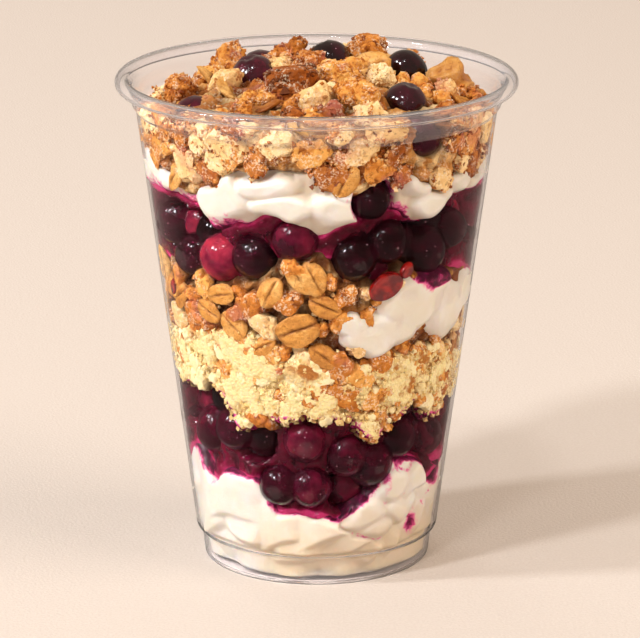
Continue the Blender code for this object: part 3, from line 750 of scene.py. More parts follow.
class Shader:
    """A node material with a Principled surface, built up from a few kinds of node."""

    def __init__(self, name, roughness, **uniform):
        self.material = bpy.data.materials.new(name)
        self.material.use_nodes = True
        self.tree = self.material.node_tree
        self.surface = self.tree.nodes["Principled BSDF"]
        self.output = self.tree.nodes["Material Output"]
        self.place = self.node("ShaderNodeTexCoord").outputs["Object"]
        self.surface.inputs["Roughness"].default_value = roughness
        for label, value in uniform.items():
            self.surface.inputs[label.replace("_", " ")].default_value = value

    def node(self, kind, **settings):
        made = self.tree.nodes.new(kind)
        for label, value in settings.items():
            setattr(made, label, value)
        return made

    def put(self, made, **inputs):
        for label, value in inputs.items():
            feed(self.tree, made.inputs[label], value)

    def number(self, label):
        """A number that the mesh holds for each of its points."""
        return self.node("ShaderNodeAttribute", attribute_name=label).outputs["Fac"]

    def noise(self, size, detail=3.0, roughness=0.55, distortion=0.0):
        """Noise from 0 to 1 with features of a size in millimetres."""
        made = self.node("ShaderNodeTexNoise")
        self.put(made, Vector=self.place, Scale=1.0 / (size * MM), Detail=detail,
                 Roughness=roughness, Distortion=distortion)
        return made.outputs["Fac"]

    def cells(self, size):
        """Distance to the nearest of scattered points that are a size in millimetres apart."""
        made = self.node("ShaderNodeTexVoronoi")
        self.put(made, Vector=self.place, Scale=1.0 / (size * MM), Randomness=1.0)
        return made.outputs["Distance"]

    def times(self, first, second):
        return math_node(self.tree, "MULTIPLY", first, second)

    def plus(self, first, second):
        return math_node(self.tree, "ADD", first, second)

    def fade(self, value, low, high):
        """0 at low and 1 at high, with soft ends."""
        made = self.node("ShaderNodeMapRange", interpolation_type="SMOOTHSTEP")
        self.put(made, **{"Value": value, "From Min": low, "From Max": high})
        return made.outputs["Result"]

    def ramp(self, value, *stops):
        """Colours that follow each other as a value grows, as (value, colour)."""
        made = self.node("ShaderNodeValToRGB")
        while len(made.color_ramp.elements) < len(stops):
            made.color_ramp.elements.new(0.5)
        for element, (at, colour) in zip(made.color_ramp.elements, stops):
            element.position = at
            element.color = (*colour, 1.0)
        self.put(made, Fac=value)
        return made.outputs["Color"]

    def mix(self, share, first, second):
        """The first colour, with a share of the second."""
        made = self.node("ShaderNodeMix", data_type="RGBA")
        feed(self.tree, made.inputs[0], share)
        for socket, colour in ((made.inputs[6], first), (made.inputs[7], second)):
            feed(self.tree, socket, (*colour, 1.0) if isinstance(colour, tuple) else colour)
        return made.outputs[2]

    def bump(self, height, depth, normal=None):
        """Relief of a depth in millimetres for a height from 0 to 1."""
        made = self.node("ShaderNodeBump")
        self.put(made, Height=height, Distance=3.5 * depth * MM, Strength=1.0)
        if normal:
            self.put(made, Normal=normal)
        return made.outputs["Normal"]

    def finish(self, colour, normal):
        self.put(self.surface, **{"Base Color": colour, "Normal": normal})
        return self.material


def clear_plastic(name, milky_sheen, bend):
    """Clear plastic that lets lamps through to the food, a little milky where it is worked: a whitish
    painted sheen in place of the bright reflections there.
    """
    s = Shader(name, 0.0, Transmission_Weight=1.0 - milky_sheen, IOR=bend,
               Base_Color=(0.985, 0.965, 0.98, 1.0))
    through = s.node("ShaderNodeBsdfTransparent")
    s.put(through, Color=(0.985, 0.98, 0.98, 1.0))
    ray = s.node("ShaderNodeLightPath")
    both = s.node("ShaderNodeMixShader")
    s.tree.links.new(ray.outputs["Is Shadow Ray"], both.inputs[0])
    s.tree.links.new(s.surface.outputs[0], both.inputs[1])
    s.tree.links.new(through.outputs[0], both.inputs[2])
    s.tree.links.new(both.outputs[0], s.output.inputs["Surface"])
    return s.material


def stain_colour(s, clean, bleed):
    """Food that berry juice has soaked: clean, then pink, magenta and near-black purple."""
    warped = s.plus(bleed, s.times(s.plus(s.noise(2.6, 4.0, 0.65, 1.6), -0.5), 1.4))
    soaked = s.ramp(warped, (0.46, (0.86, 0.36, 0.46)), (0.62, (0.74, 0.09, 0.29)),
                    (0.82, (0.26, 0.006, 0.07)), (1.0, (0.06, 0.002, 0.016)))
    return s.mix(s.fade(warped, 0.32, 0.58), clean, soaked)


def cream_material():
    """Soft off-white cream with painted shade that makes it yellower, soaked with juice beside the
    compote.
    """
    s = Shader("cream", 0.42, Subsurface_Weight=0.35, Subsurface_Radius=(1.0, 0.62, 0.32),
               Subsurface_Scale=2.2 * MM)
    clean = s.mix(s.fade(s.noise(7.0, 2.0), 0.35, 0.7), (0.79, 0.72, 0.60), (0.83, 0.78, 0.70))
    # Painted shade: yellower where the shade number is high.
    clean = s.mix(s.number("shade"), clean, (0.70, 0.54, 0.34))
    colour = stain_colour(s, clean, s.number("bleed"))
    soft = s.bump(s.noise(3.0, 3.0), 0.07)
    normal = s.bump(s.noise(0.7, 2.0), 0.01, soft)
    return s.finish(colour, normal)


def compote_material():
    """Dark jelly, magenta where it is thin."""
    s = Shader("compote", WET, **WET_FILM)
    thin = s.plus(s.number("bleed"), s.times(s.noise(3.0, 4.0), 0.75))
    colour = s.ramp(thin, (0.24, (0.020, 0.001, 0.004)), (0.42, (0.085, 0.003, 0.013)),
                    (0.76, (0.19, 0.004, 0.032)), (1.0, (0.50, 0.03, 0.13)))
    normal = s.bump(s.noise(1.8, 2.0), 0.24)
    return s.finish(s.mix(specks_and_glints(s), colour, (0.62, 0.30, 0.38)), normal)


def specks_and_glints(s):
    """Scattered tiny bubbles and crumbs, partly painted glints, as a share."""
    few = s.fade(s.noise(5.0, 2.0), 0.46, 0.6)
    return s.times(s.times(s.fade(s.cells(1.5), 0.14, 0.07), few), 0.7)


def berry_material():
    """Wet, wrinkled skin, from near black to crimson by the berry's tone."""
    s = Shader("blueberry_skin", WET, **WET_FILM)
    tone = s.plus(s.times(s.number("tone"), 0.5), s.times(s.noise(4.0, 3.0), 0.6))
    colour = s.ramp(tone, (0.3, (0.010, 0.001, 0.002)), (0.52, (0.045, 0.002, 0.009)),
                    (0.72, (0.15, 0.006, 0.024)), (0.96, (0.50, 0.035, 0.06)))
    colour = s.mix(s.times(s.number("crease"), 0.4), colour, (0.02, 0.006, 0.012))
    smooth = s.bump(s.noise(3.2, 1.0), 0.15)
    wrinkles = s.bump(s.noise(1.4, 1.0, 0.5, 0.8), 0.07, smooth)
    return s.finish(s.mix(specks_and_glints(s), colour, (0.50, 0.26, 0.32)), wrinkles)


def syrup_material():
    """Clear red syrup, lighter in patches."""
    s = Shader("syrup", WET, Specular_IOR_Level=0.4, Coat_Weight=1.0, Coat_Roughness=0.1)
    patches = s.fade(s.noise(3.5, 2.0), 0.4, 0.65)
    colour = s.mix(patches, (0.11, 0.002, 0.002), (0.34, 0.009, 0.006))
    return s.finish(colour, s.bump(s.noise(1.6, 2.0), 0.05))


def cake_material():
    """Open yellow sponge crumb with toasted bits, soaked with juice at its lower edge, with painted
    shade in its pores and where it lies farther behind the wall.
    """
    s = Shader("cake", 0.9, Subsurface_Weight=0.3, Subsurface_Radius=(1.0, 0.6, 0.25),
               Subsurface_Scale=0.8 * MM, Specular_IOR_Level=0.15)
    # Painted shade by the crease.
    crumb = s.mix(s.number("crease"), (0.90, 0.73, 0.35), (0.46, 0.22, 0.04))
    grain = s.times(s.fade(s.noise(0.8, 3.0), 0.44, 0.6), 0.6)
    crumb = s.mix(grain, crumb, (0.90, 0.75, 0.43))
    # Painted shade: darker flecks in the pores.
    pore_shade = s.times(s.fade(s.noise(1.3, 3.0), 0.46, 0.34), 0.4)
    crumb = s.mix(pore_shade, crumb, (0.62, 0.33, 0.08))
    toasted = s.times(s.fade(s.noise(6.0, 4.0), 0.52, 0.62), s.number("crust"))
    crumb = s.mix(toasted, crumb, (0.45, 0.17, 0.04))
    colour = stain_colour(s, crumb, s.number("bleed"))
    pores = s.bump(s.cells(0.7), 0.06)
    return s.finish(colour, s.bump(s.noise(0.5, 2.0), 0.06, pores))


def baked_material(name, colours, roughness=0.7, glints=0.5, scorch=0.5):
    """Baked crumb: light crowns, cracks darkened as painted shade, each piece its own tone, with sugar
    on it.
    """
    s = Shader(name, roughness, Specular_IOR_Level=0.18)
    mottled = s.plus(s.times(s.noise(1.6, 5.0, 0.7), 0.7), s.times(s.number("tone"), 0.3))
    level = s.plus(s.times(s.number("crease"), 0.55), mottled)
    return crumb_finish(s, s.ramp(level, *zip((0.3, 0.6, 1.0), colours)), glints, scorch)


def crumb_finish(s, colour, glints, scorch):
    """Sugar grains whose pale flecks also serve as painted glints, faint berry stains, painted shade
    where the food lies far in, and a sandy surface.
    """
    stain = s.times(s.fade(s.noise(9.0, 3.0), 0.56, 0.68), 0.7 * scorch)
    colour = s.mix(stain, colour, (0.55, 0.17, 0.16))
    burnt = s.times(s.fade(s.noise(0.9, 4.0), 0.46, 0.34), scorch)
    colour = s.mix(burnt, colour, (0.20, 0.05, 0.008))
    # Pale sugar flecks, partly painted glints.
    sugared = s.times(s.fade(s.noise(3.5, 3.0), 0.44, 0.6), glints)
    sugar = s.times(s.fade(s.noise(0.55, 3.0), 0.5, 0.58), sugared)
    colour = s.mix(sugar, colour, (0.96, 0.83, 0.62))
    return s.finish(paint_depth_shade(s, colour), s.bump(s.noise(0.6, 3.0, 0.65), 0.07))


def paint_depth_shade(s, colour):
    """The same colour with painted shade, dark where the food lies far in between its neighbours."""
    return s.mix(s.times(s.number("depth_shade"), 0.88), colour, (0.07, 0.018, 0.004))


def mixed_crumb_material():
    """Packed crumbs: each lump pale, golden or brown, with painted shade where they meet."""
    s = Shader("mixed_crumb", 0.75, Specular_IOR_Level=0.18)
    level = s.plus(s.times(s.number("tone"), 0.8), s.times(s.noise(1.8, 4.0), 0.4))
    colour = s.ramp(level, (0.22, (0.86, 0.60, 0.28)), (0.45, (0.70, 0.34, 0.09)),
                    (0.72, (0.48, 0.17, 0.035)), (0.98, (0.26, 0.07, 0.012)))
    colour = s.mix(s.number("crease"), colour, (0.10, 0.028, 0.006))
    return crumb_finish(s, colour, 0.4, 0.5)


def oat_material():
    """Toasted flake, streaked, and brown in its crease and at its edge, with painted shade where it
    lies far in.
    """
    s = Shader("oat", 0.45, Specular_IOR_Level=0.3)
    level = s.plus(s.times(s.number("tone"), 0.55), s.times(s.noise(2.4, 4.0), 0.6))
    body = s.ramp(level, (0.25, (0.84, 0.50, 0.17)), (0.5, (0.66, 0.29, 0.055)),
                  (0.85, (0.34, 0.095, 0.015)))
    streak = s.times(s.fade(s.noise(1.1, 4.0, 0.6, 1.5), 0.52, 0.66), 0.5)
    body = s.mix(streak, body, (0.30, 0.085, 0.014))
    colour = s.mix(s.times(s.number("crease"), 0.85), body, (0.20, 0.055, 0.01))
    ridges = s.bump(s.noise(1.6, 4.0), 0.16)
    return s.finish(paint_depth_shade(s, colour), s.bump(s.noise(0.5, 3.0), 0.04, ridges))


def mirrored(tree):
    """How far the surroundings are dimmed: not at all when seen straight or through the plastic,
    a little in reflections off its outside or off what touches it, and most in those behind."""
    ray = tree.nodes.new("ShaderNodeLightPath")
    passed = ray.outputs["Transmission Depth"]
    inside = math_node(tree, "GREATER_THAN", passed, 0.5)
    behind = math_node(tree, "GREATER_THAN", passed, 2.5)
    level = math_node(tree, "MULTIPLY_ADD", inside, CONTACT_DIMMING - PLASTIC_DIMMING, PLASTIC_DIMMING)
    level = math_node(tree, "MULTIPLY_ADD", behind, FOOD_DIMMING - CONTACT_DIMMING, level)
    reflected = math_node(tree, "GREATER_THAN", ray.outputs["Glossy Depth"], 0.5)
    return math_node(tree, "MULTIPLY", reflected, level)


def floor_material():
    """Pale stone that shows darker in reflections, so that it doesn't veil the dark food."""
    s = Shader("floor", 0.75)
    grain = s.fade(s.noise(0.7, 2.0), 0.3, 0.7)
    colour = s.mix(grain, (0.685, 0.585, 0.52), (0.725, 0.63, 0.565))
    shown = s.mix(mirrored(s.tree), colour, (0.02, 0.015, 0.013))
    return s.finish(shown, s.bump(s.noise(0.8, 2.0), 0.05))


# --- Layers ------------------------------------------------------------------------------


def true_distance(line, azimuth, height):
    """How far points lie above a line between layers, measured across it."""
    slope = wall_line(line, azimuth + 0.5) - wall_line(line, azimuth - 0.5)
    run = wall_arc(height)
    return (height - wall_line(line, azimuth)) / np.sqrt(1.0 + (slope / run) ** 2)


def shoulder(distance, radius):
    """Depth of a rounded edge at a distance inside it, and beyond it the side going in."""
    near = np.clip(radius - distance, 0.0, radius)
    beyond = np.clip(-distance, 0.0, None)
    return radius - np.sqrt(radius ** 2 - near ** 2) + 1.8 * beyond


def side_grid(lower, upper, columns, rows, overlap):
    """Azimuth and height of a grid of points on the wall, over a layer and a little beyond."""
    azimuth = np.linspace(-180.0, 180.0, columns, endpoint=False)[None, :]
    low = wall_line(lower, azimuth) - overlap if lower else np.full_like(azimuth, CREAM_FOOT)
    high = wall_line(upper, azimuth) + overlap
    share = np.linspace(0.0, 1.0, rows)[:, None]
    height = low + (high - low) * share
    return np.broadcast_to(azimuth, height.shape), height


def closed_layer(name, lower, upper, azimuth, height, depth, values, smooth=True):
    """The side of a layer at that depth behind the wall, closed by the layer's two faces.

    The layer presses closer to the wall at the cup's two sides.
    """
    pressed = 0.65 * np.exp(-((np.abs(azimuth) - 82.0) / 15.0) ** 2) * fade(4.5, 2.5, depth)
    pressed = pressed + 0.5 * np.exp(-((np.abs(azimuth) - 85.0) / 12.0) ** 2) * fade(2.5, 4.5, depth)
    radius = wall_radius(height) + REACH - np.clip(depth, 0.0, CORE_DEPTH) * (1.0 - pressed)
    side = polar(azimuth, radius, height)
    around = azimuth[:1]
    under, over = [], []
    for share in (0.4, 0.7):
        floor = surface(lower, around, share) + 1.0 if lower else np.full_like(around, CREAM_FLOOR)
        under.append(polar(around, share * radius[:1], floor))
        over.append(polar(around, share * radius[-1:], surface(upper, around, share) - 1.0))
    if not lower:
        under.append(polar(around, np.minimum(PANEL_RADIUS - 0.5, radius[:1]), CREAM_FLOOR))
    rings = np.concatenate([*under, side, *over[::-1]])
    spread = {}
    for label, numbers in values.items():
        spread[label] = np.concatenate([*[numbers[:1]] * len(under), numbers, *[numbers[-1:]] * 2])
    return lathe_grid(name, rings, spread, smooth)


def fold_height(azimuth, height, folds, softness):
    """How far spooned folds press towards the wall: each rises to a ragged edge and drops."""
    arc = wall_arc(height)
    highest = np.zeros_like(height)
    for k, (at, middle, tilt, length, width) in enumerate(folds):
        turn = math.radians(tilt)
        along_wall = turned(azimuth, at) * arc
        along = along_wall * math.cos(turn) + (height - middle) * math.sin(turn)
        across = (height - middle) * math.cos(turn) - along_wall * math.sin(turn)
        seeded = np.stack([along, np.full_like(along, k * 9.0), np.zeros_like(along)], -1)
        edge = -0.5 * width + 0.8 * noise(seeded, 7.0, 40 + k) + 0.12 * noise(seeded, 2.0, 60 + k)
        edge = edge + 0.02 * along ** 2 * (1 if k % 2 else -1)
        behind = across - edge
        rise = fade(0.0, softness, behind) * np.clip(1.0 - behind / (1.5 * width), 0.0, 1.0)
        ends = fade(0.5, 0.18, np.abs(along) / length)
        highest = highest + (rise * ends) ** 4
    return np.minimum(highest ** 0.25, 1.1)


def stained(distance, at_wall, seed):
    """How much juice has soaked in at a distance from the compote: far in some places."""
    width = 0.45 + 4.2 * np.clip(noise(at_wall, 7.0, seed), 0.0, 1.0) ** 1.2
    width = width * (1.0 + 0.7 * noise(at_wall, 2.0, seed + 1))
    return np.exp(-np.clip(distance - 0.2, 0.0, None) / width)


def spot(azimuth, height, place):
    """1 in the middle of a soft spot given as (azimuth, height, half width, half height)."""
    at, middle, half_wide, half_high = place
    return np.exp(-((azimuth - at) / half_wide) ** 2 - ((height - middle) / half_high) ** 2)


def folds_round_the_back(seed, low, high):
    """Spooned folds behind those at the front, between two heights."""
    draw = random.Random(seed)
    made = []
    for k in range(BACK_FOLDS):
        at = 92.0 + 176.0 * (k + draw.random()) / BACK_FOLDS
        made.append((at, draw.uniform(low, high), draw.uniform(-20, 60), draw.uniform(12, 26),
                     draw.uniform(7, 12)))
    return made


def cream_low(material):
    """The low cream: spooned folds, curds at the front right, and juice along its top."""
    azimuth, height = side_grid(None, CREAM_LOW_TOP, 480, 60, 3.0)
    at_wall = polar(azimuth, 36.0, height)
    to_top = -true_distance(CREAM_LOW_TOP, azimuth, height)
    lobed = to_top + 1.0 * noise(at_wall, 5.0, 1) + 0.5 * noise(at_wall, 2.0, 2)
    folds = fold_height(azimuth, height, [*FOLDS, *folds_round_the_back(8, 6.0, 20.0)], 2.4)
    foot = fade(SHOULDER_HEIGHT + 0.5, CREAM_FOOT, height)
    depth = 2.0 - 2.2 * folds + 0.6 * noise(at_wall, 8.0, 3) + 0.08 * noise(at_wall, 2.6, 4)
    depth = np.clip(depth, 0.0, None)
    drift = 2.0 * noise(at_wall, 5.0, 9)
    curds = merged(lobe_depths(azimuth + 1.6 * drift, height + 0.6 * drift, CURDS, 0.4 * drift), 0.2)
    near = fade(3.2, 1.8, curds)
    creases = near * fade(0.4, 1.5, curds) * np.clip(0.75 + 1.2 * noise(at_wall, 5.0, 10), 0.0, 1.0)
    depth = depth * (1.0 - near) + np.clip(curds, 0.0, None) * near + shoulder(lobed, 2.2)
    depth = depth + foot * (0.8 + 1.2 * noise(at_wall, 9.0, 5) + 0.25 * noise(at_wall, 2.5, 6))
    drop = spot(azimuth, height, DROP)
    streak = spot(azimuth, height - (azimuth - STREAK[0]) * STREAK_SLOPE, STREAK)
    depth = depth + 0.8 * drop
    bleed = np.maximum(stained(to_top, at_wall, 7), np.maximum(0.95 * drop, 0.5 * streak))
    bleed = np.maximum(bleed, 0.5 * creases)
    # Painted shade: yellower towards the bottom, except on the left side that faces the lamps.
    shade = 0.8 * fade(24.0, 6.0, height) * fade(-50.0, -15.0, azimuth)
    made = closed_layer("low_cream", None, CREAM_LOW_TOP, azimuth, height, depth,
                        {"bleed": bleed, "shade": shade})
    made.data.materials.append(material)
    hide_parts("cream_low")
    return made


def cream_high(material):
    """The high cream: soft lobes, and a hollow round the berry that lies in it."""
    azimuth, height = side_grid(COMPOTE_HIGH_TOP, CREAM_HIGH_TOP, 480, 42, 3.0)
    at_wall = polar(azimuth, HIGH_RADIUS, height)
    above = true_distance(COMPOTE_HIGH_TOP, azimuth, height)
    below = -true_distance(CREAM_HIGH_TOP, azimuth, height)
    lobes = 0.9 * noise(at_wall, 5.0, 11) + 0.4 * noise(at_wall, 2.0, 12)
    between = 1.7 + 0.6 * noise(at_wall, 6.0, 13)
    ragged = 1.1 * noise(at_wall, 5.5, 19) + 0.3 * noise(at_wall, 2.0, 20)
    drift = 2.2 * noise(at_wall, 8.0, 15)
    domes = lobe_depths(azimuth + 2.0 * drift, height + 0.8 * drift,
                        [*HIGH_LOBES, *lobes_round_the_back(18)], ragged)
    relief = 1.7 * merged([between, *domes], 0.15) + 0.3 * noise(at_wall, 3.6, 16)
    relief = relief + 0.12 * noise(at_wall, 1.8, 14)
    depth = np.clip(relief, 0.0, None) + shoulder(above + lobes, 2.6) + shoulder(below + lobes, 2.2)
    middle = centre_of("berry_in_cream")
    across = (azimuth - azimuth_of(middle)) * math.radians(1.0) * HIGH_RADIUS
    near = np.hypot(across, height - middle[2]) - BERRY
    depth = depth + 5.0 * fade(0.9, -0.4, near)
    bleed = np.maximum(stained(above, at_wall, 17),
                       0.75 * np.exp(-np.clip(near - 0.3, 0.0, None) / 0.8))
    # Painted shade: yellower in the creases between the lobes.
    made = closed_layer("high_cream", COMPOTE_HIGH_TOP, CREAM_HIGH_TOP, azimuth, height, depth,
                        {"bleed": bleed, "shade": 0.5 * fade(0.3, 2.4, relief)})
    made.data.materials.append(material)
    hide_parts("cream_high")
    return made


def spoonful_centre(azimuth):
    """Height of the spoonful's middle at an azimuth."""
    droop = SPOONFUL_DROOP * np.exp(-((azimuth - 17.0) / 8.0) ** 2)
    return SPOONFUL_HEIGHT + 0.9 * np.cos(np.radians(azimuth - 40.0) * 5.0) - droop


def merged(depths, softness):
    """The least of several depths, softened where two are nearly the same.

    The last number keeps the logarithm finite where all the depths are large.
    """
    return -softness * np.log(np.sum(np.exp(-np.array(depths) / softness), axis=0) + 1e-9)


def lobes_round_the_back(seed):
    """Lobes of the high cream behind those at the front."""
    draw = random.Random(seed)
    made = []
    for k in range(BACK_FOLDS):
        at = 98.0 + 164.0 * (k + draw.random()) / BACK_FOLDS
        made.append((at, 96.0 + 6.0 * (k % 2) + draw.uniform(-1.0, 1.0), draw.uniform(6.5, 10.5),
                     draw.uniform(4.2, 6.2)))
    return made


def lobe_depths(azimuth, height, lobes, edge):
    """Depth of each of several domed lobes given as (azimuth, height, half width, half height)."""
    arc = wall_arc(height)
    made = []
    for k, (at, middle, half_wide, half_high) in enumerate(lobes):
        turn = turned(azimuth, at)
        across, up = turn * arc / half_wide, (height - middle) / half_high
        span = np.sqrt(across ** 2 + up ** 2)
        inside = (1.0 - span) * half_high + edge
        made.append(np.clip(1.5 * span ** 2 - 0.9 + 0.35 * k % 0.8, 0.0, None) + shoulder(inside, 2.6))
    return made


def spoonful(material):
    """A patch of cream pressed on the wall, with a rounded, lobed outline."""
    columns, rows = 150, 54
    across = np.linspace(-1.12, 1.12, columns)[None, :]
    share = np.linspace(-1.2, 1.2, rows)[:, None]
    azimuth = SPOONFUL_AZIMUTH + SPOONFUL_HALF * across + 0.0 * share
    height = spoonful_centre(azimuth) + SPOONFUL_RISE * share
    at_wall = polar(azimuth, 39.0, height)
    ragged = 0.8 * noise(at_wall, 5.0, 21) + 0.35 * noise(at_wall, 2.0, 22)
    depth = np.min(lobe_depths(azimuth, height, SPOONFUL_LOBES, ragged), axis=0)
    depth = depth + 0.4 * noise(at_wall, 4.0, 23) + 0.1 * noise(at_wall, 1.8, 24)
    depth = np.clip(depth, 0.0, 8.0)
    to_compote = -true_distance(GRANOLA_TOP, azimuth, height)
    bleed = stained(to_compote, at_wall, 27)
    front = polar(azimuth, wall_radius(height) + REACH - depth, height).reshape(-1, 3)
    back = polar(azimuth, wall_radius(height) - CORE_DEPTH, height).reshape(-1, 3)
    sheet = grid_faces(rows, columns, wrap=False)
    count = rows * columns
    ring = np.array([*range(columns), *range(2 * columns - 1, count, columns),
                     *range(count - 2, count - columns - 1, -1),
                     *range(count - 2 * columns, 0, -columns)])
    after = np.roll(ring, -1)
    edge = np.stack([ring, ring + count, after + count, after], -1)
    faces = np.concatenate([sheet, sheet[:, ::-1] + count, edge])
    made = mesh_object("spooned_cream", np.concatenate([front, back]), faces.tolist(),
                       {"bleed": np.tile(bleed.ravel(), 2)})
    made.data.materials.append(material)
    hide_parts("cream_spoonful")
    return made


def berries_round(front, low, high, spacing, seed):
    """The berries on the wall as (azimuth, height, depth of the crown, tone), and more behind."""
    draw = random.Random(seed)
    placed = [(azimuth, height, 0.0, tone) for azimuth, height, tone in front]
    for depth, tries in ((0.0, 90), (3.8, 160)):
        for _ in range(tries):
            azimuth = draw.uniform(96.0, 264.0) if depth == 0.0 else draw.uniform(-180.0, 180.0)
            bottom, top = wall_line(low, azimuth) + 4.2, wall_line(high, azimuth) - 3.6
            if top <= bottom:
                continue
            height = draw.uniform(bottom, top)
            arc = wall_arc(height)
            apart = [math.hypot(turned(azimuth, a) * arc, height - h) for a, h, _, _ in placed]
            if min(apart) > spacing - depth:
                placed.append((azimuth, height, depth + draw.uniform(0.0, 0.5), draw.random() ** 2))
    return placed


def compote(name, node, lower, upper, front, seed, sunk_jelly, jelly, skin):
    """A layer of compote: its jelly, sunk behind the berries, and the berries on the wall."""
    placed = berries_round(front, lower, upper, BERRY_SPACING, seed)
    azimuth, height = side_grid(lower, upper, 270, 38, 3.2)
    at_wall = polar(azimuth, 38.0, height)
    above = true_distance(lower, azimuth, height)
    below = -true_distance(upper, azimuth, height)
    at_side = np.exp(-((np.abs(azimuth) - 84.0) / 14.0) ** 2)
    depth = sunk_jelly + 1.4 * noise(at_wall, 6.0, seed) + 0.6 * noise(at_wall, 2.2, seed + 1)
    depth = depth * (1.0 - 0.9 * at_side)
    arc = wall_arc(height)
    for at, middle, sunk, _ in placed:
        reach = np.hypot(turned(azimuth, at) * arc, height - middle)
        under_berry = sunk + sunk_jelly + 3.0 * fade(1.1 * WALL_BERRY, 0.4 * WALL_BERRY, reach)
        under_berry = under_berry * (1.0 - 0.9 * at_side)
        depth = np.where(reach < 1.1 * WALL_BERRY, np.maximum(depth, under_berry), depth)
    lobes = 0.9 * noise(at_wall, 3.6, seed + 2)
    depth = np.clip(depth, 0.0, None)
    depth = depth + shoulder(above + 1.4 + lobes, 1.4) + shoulder(below + 1.2 + lobes, 1.4)
    bleed = 0.85 * stained(above, at_wall, seed + 5) + 0.6 * stained(below + 0.2, at_wall, seed + 6)
    made = closed_layer(name + "_jelly", lower, upper, azimuth, height, depth, {"bleed": bleed})
    made.data.materials.append(jelly)
    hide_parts(node)
    heap = Heap(name + "_berries")
    draw = random.Random(seed + 50)
    shapes = [berry_shape(seed * 10 + k) for k in range(6)]
    for k, (at, middle, sunk, tone) in enumerate(placed):
        size = WALL_BERRY * draw.uniform(0.94, 1.06)
        place = polar(at, wall_radius(middle) + REACH - size - sunk + 0.2, middle)
        turn = any_turn(draw)
        heap.add(shapes[k % 6], place, turn, size * np.array([1.0, draw.uniform(0.9, 1.05), 1.0]), tone)
    berries = heap.build()
    berries.data.materials.append(skin)
    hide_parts(node)
    return made, berries


def syrup_drops(material):
    """Drops of red syrup that ran out under the high compote."""
    heap = Heap("syrup_drops")
    points, faces = ball(4)
    for k, (azimuth, height, length, turn) in enumerate(SYRUP_DROPS):
        bumpy = points * (1.0 + 0.1 * noise(points + 5.0 * k, 1.3, 61 + k))[:, None]
        place = polar(azimuth, wall_radius(height) - 0.9, height)
        shape = (bumpy, faces, np.zeros(len(points)))
        heap.add(shape, place, wall_turn(azimuth, math.radians(turn), 0.0),
                 length * np.array([0.5, 0.34, 0.3]), 0.9)
    made = heap.build()
    made.data.materials.append(material)
    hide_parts("compote_high")
    return made


def cake(material):
    """The sponge's open crumb, with juice at its lower edge."""
    azimuth, height = side_grid(COMPOTE_LOW_TOP, CAKE_TOP, 560, 60, 2.6)
    at_wall = polar(azimuth, 38.0, height)
    above = true_distance(COMPOTE_LOW_TOP, azimuth, height)
    below = -true_distance(CAKE_TOP, azimuth, height)
    stand, _ = crumbly(at_wall, 32, ((9.0, 4.6), (3.6, 2.0), (1.4, 0.9)))
    depth = np.clip(5.0 - stand, 0.0, None)
    ragged = 1.3 * noise(at_wall, 3.4, 36) + 0.9 * noise(at_wall, 1.5, 37)
    depth = depth + shoulder(above + ragged + 0.8, 1.6) + shoulder(below + ragged + 0.6, 1.6)
    # Painted shade: the crease darkens the crumb the farther it lies behind the wall.
    crease = np.clip(depth / 4.0, 0.0, 1.0)
    bleed = 0.9 * np.exp(-np.clip(above + 0.5, 0.0, None) / 1.0)
    crust = fade(-20.0, 20.0, azimuth) * fade(66.0, 50.0, azimuth) + fade(6.0, 1.0, below)
    made = closed_layer("sponge_crumbs", COMPOTE_LOW_TOP, CAKE_TOP, azimuth, height, depth,
                        {"bleed": bleed, "crease": crease, "crust": np.clip(crust, 0.0, 1.0)})
    made.data.materials.append(material)
    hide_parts("cake_crumbs")
    return made


def cake_lumps(core, sponge, crust):
    """Loose lumps and grains of the sponge and bits of its crust, pressed on the wall."""
    draw = random.Random(31)
    grains = [grain_shape(k + 20) for k in range(6)]
    heaps = (Heap("sponge_lumps", smooth=False), Heap("sponge_crust", smooth=False))
    shapes = [cluster_shape(k + 40, 3, 0.25, 9) for k in range(6)]
    small = [crumb_shape(k + 46, 2) for k in range(6)]
    for at, middle, half in CRUSTS:
        place = polar(at, wall_radius(middle) - 0.62 * half, middle)
        turn = any_turn(draw)
        heaps[1].add(draw.choice(shapes), place, turn, 1.25 * half, draw.random())
    for _ in range(SPONGE_LUMPS):
        at = draw.uniform(-180.0, 180.0)
        middle = draw.uniform(wall_line(COMPOTE_LOW_TOP, at) - 0.6, wall_line(CAKE_TOP, at) + 1.2)
        size = draw.choice((0.8, 1.2, 1.7, 2.3, 3.2, 4.4))
        place = polar(at, wall_radius(middle) - 0.75 * size, middle)
        turn = any_turn(draw)
        right = -25.0 < at < 80.0
        heap = heaps[1 if draw.random() < (0.42 if right else 0.1) else 0]
        shape = draw.choice(shapes) if size > 1.8 else draw.choice(small)
        heap.add(shape, place, turn, size, draw.random())
    for place in heaps[1].crowns(draw, TOP_GRAINS):
        turn = any_turn(draw)
        heaps[0].add(draw.choice(grains), place, turn, draw.uniform(0.3, 0.7), draw.random())
    sides = np.array([vertex.co for vertex in core.data.vertices]) / MM
    sprinkle(heaps[0], sides, grains, draw, SPONGE_GRAINS, 4.0, (0.25, 0.75))
    for heap, material in zip(heaps, (sponge, crust)):
        piece = heap.build()
        piece.data.materials.append(material)
        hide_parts("cake_crumbs")
        yield piece


def in_spoonful(azimuth, height):
    """Whether a point on the wall lies on the spoonful of cream."""
    across = (azimuth - SPOONFUL_AZIMUTH) / SPOONFUL_HALF
    up = (height - spoonful_centre(azimuth)) / SPOONFUL_RISE
    return across ** 2 + up ** 2 < 1.0


def wall_turn(azimuth, spin, tilt, lean=0.0):
    """Lays a piece's flat side on the wall at an azimuth, turned in its plane and tilted."""
    facing = Euler((math.radians(90.0) + lean, 0.0, math.radians(azimuth))).to_matrix()
    own = Matrix.Rotation(spin, 3, "Z") @ Matrix.Rotation(tilt, 3, "X")
    return (facing @ own).to_euler()


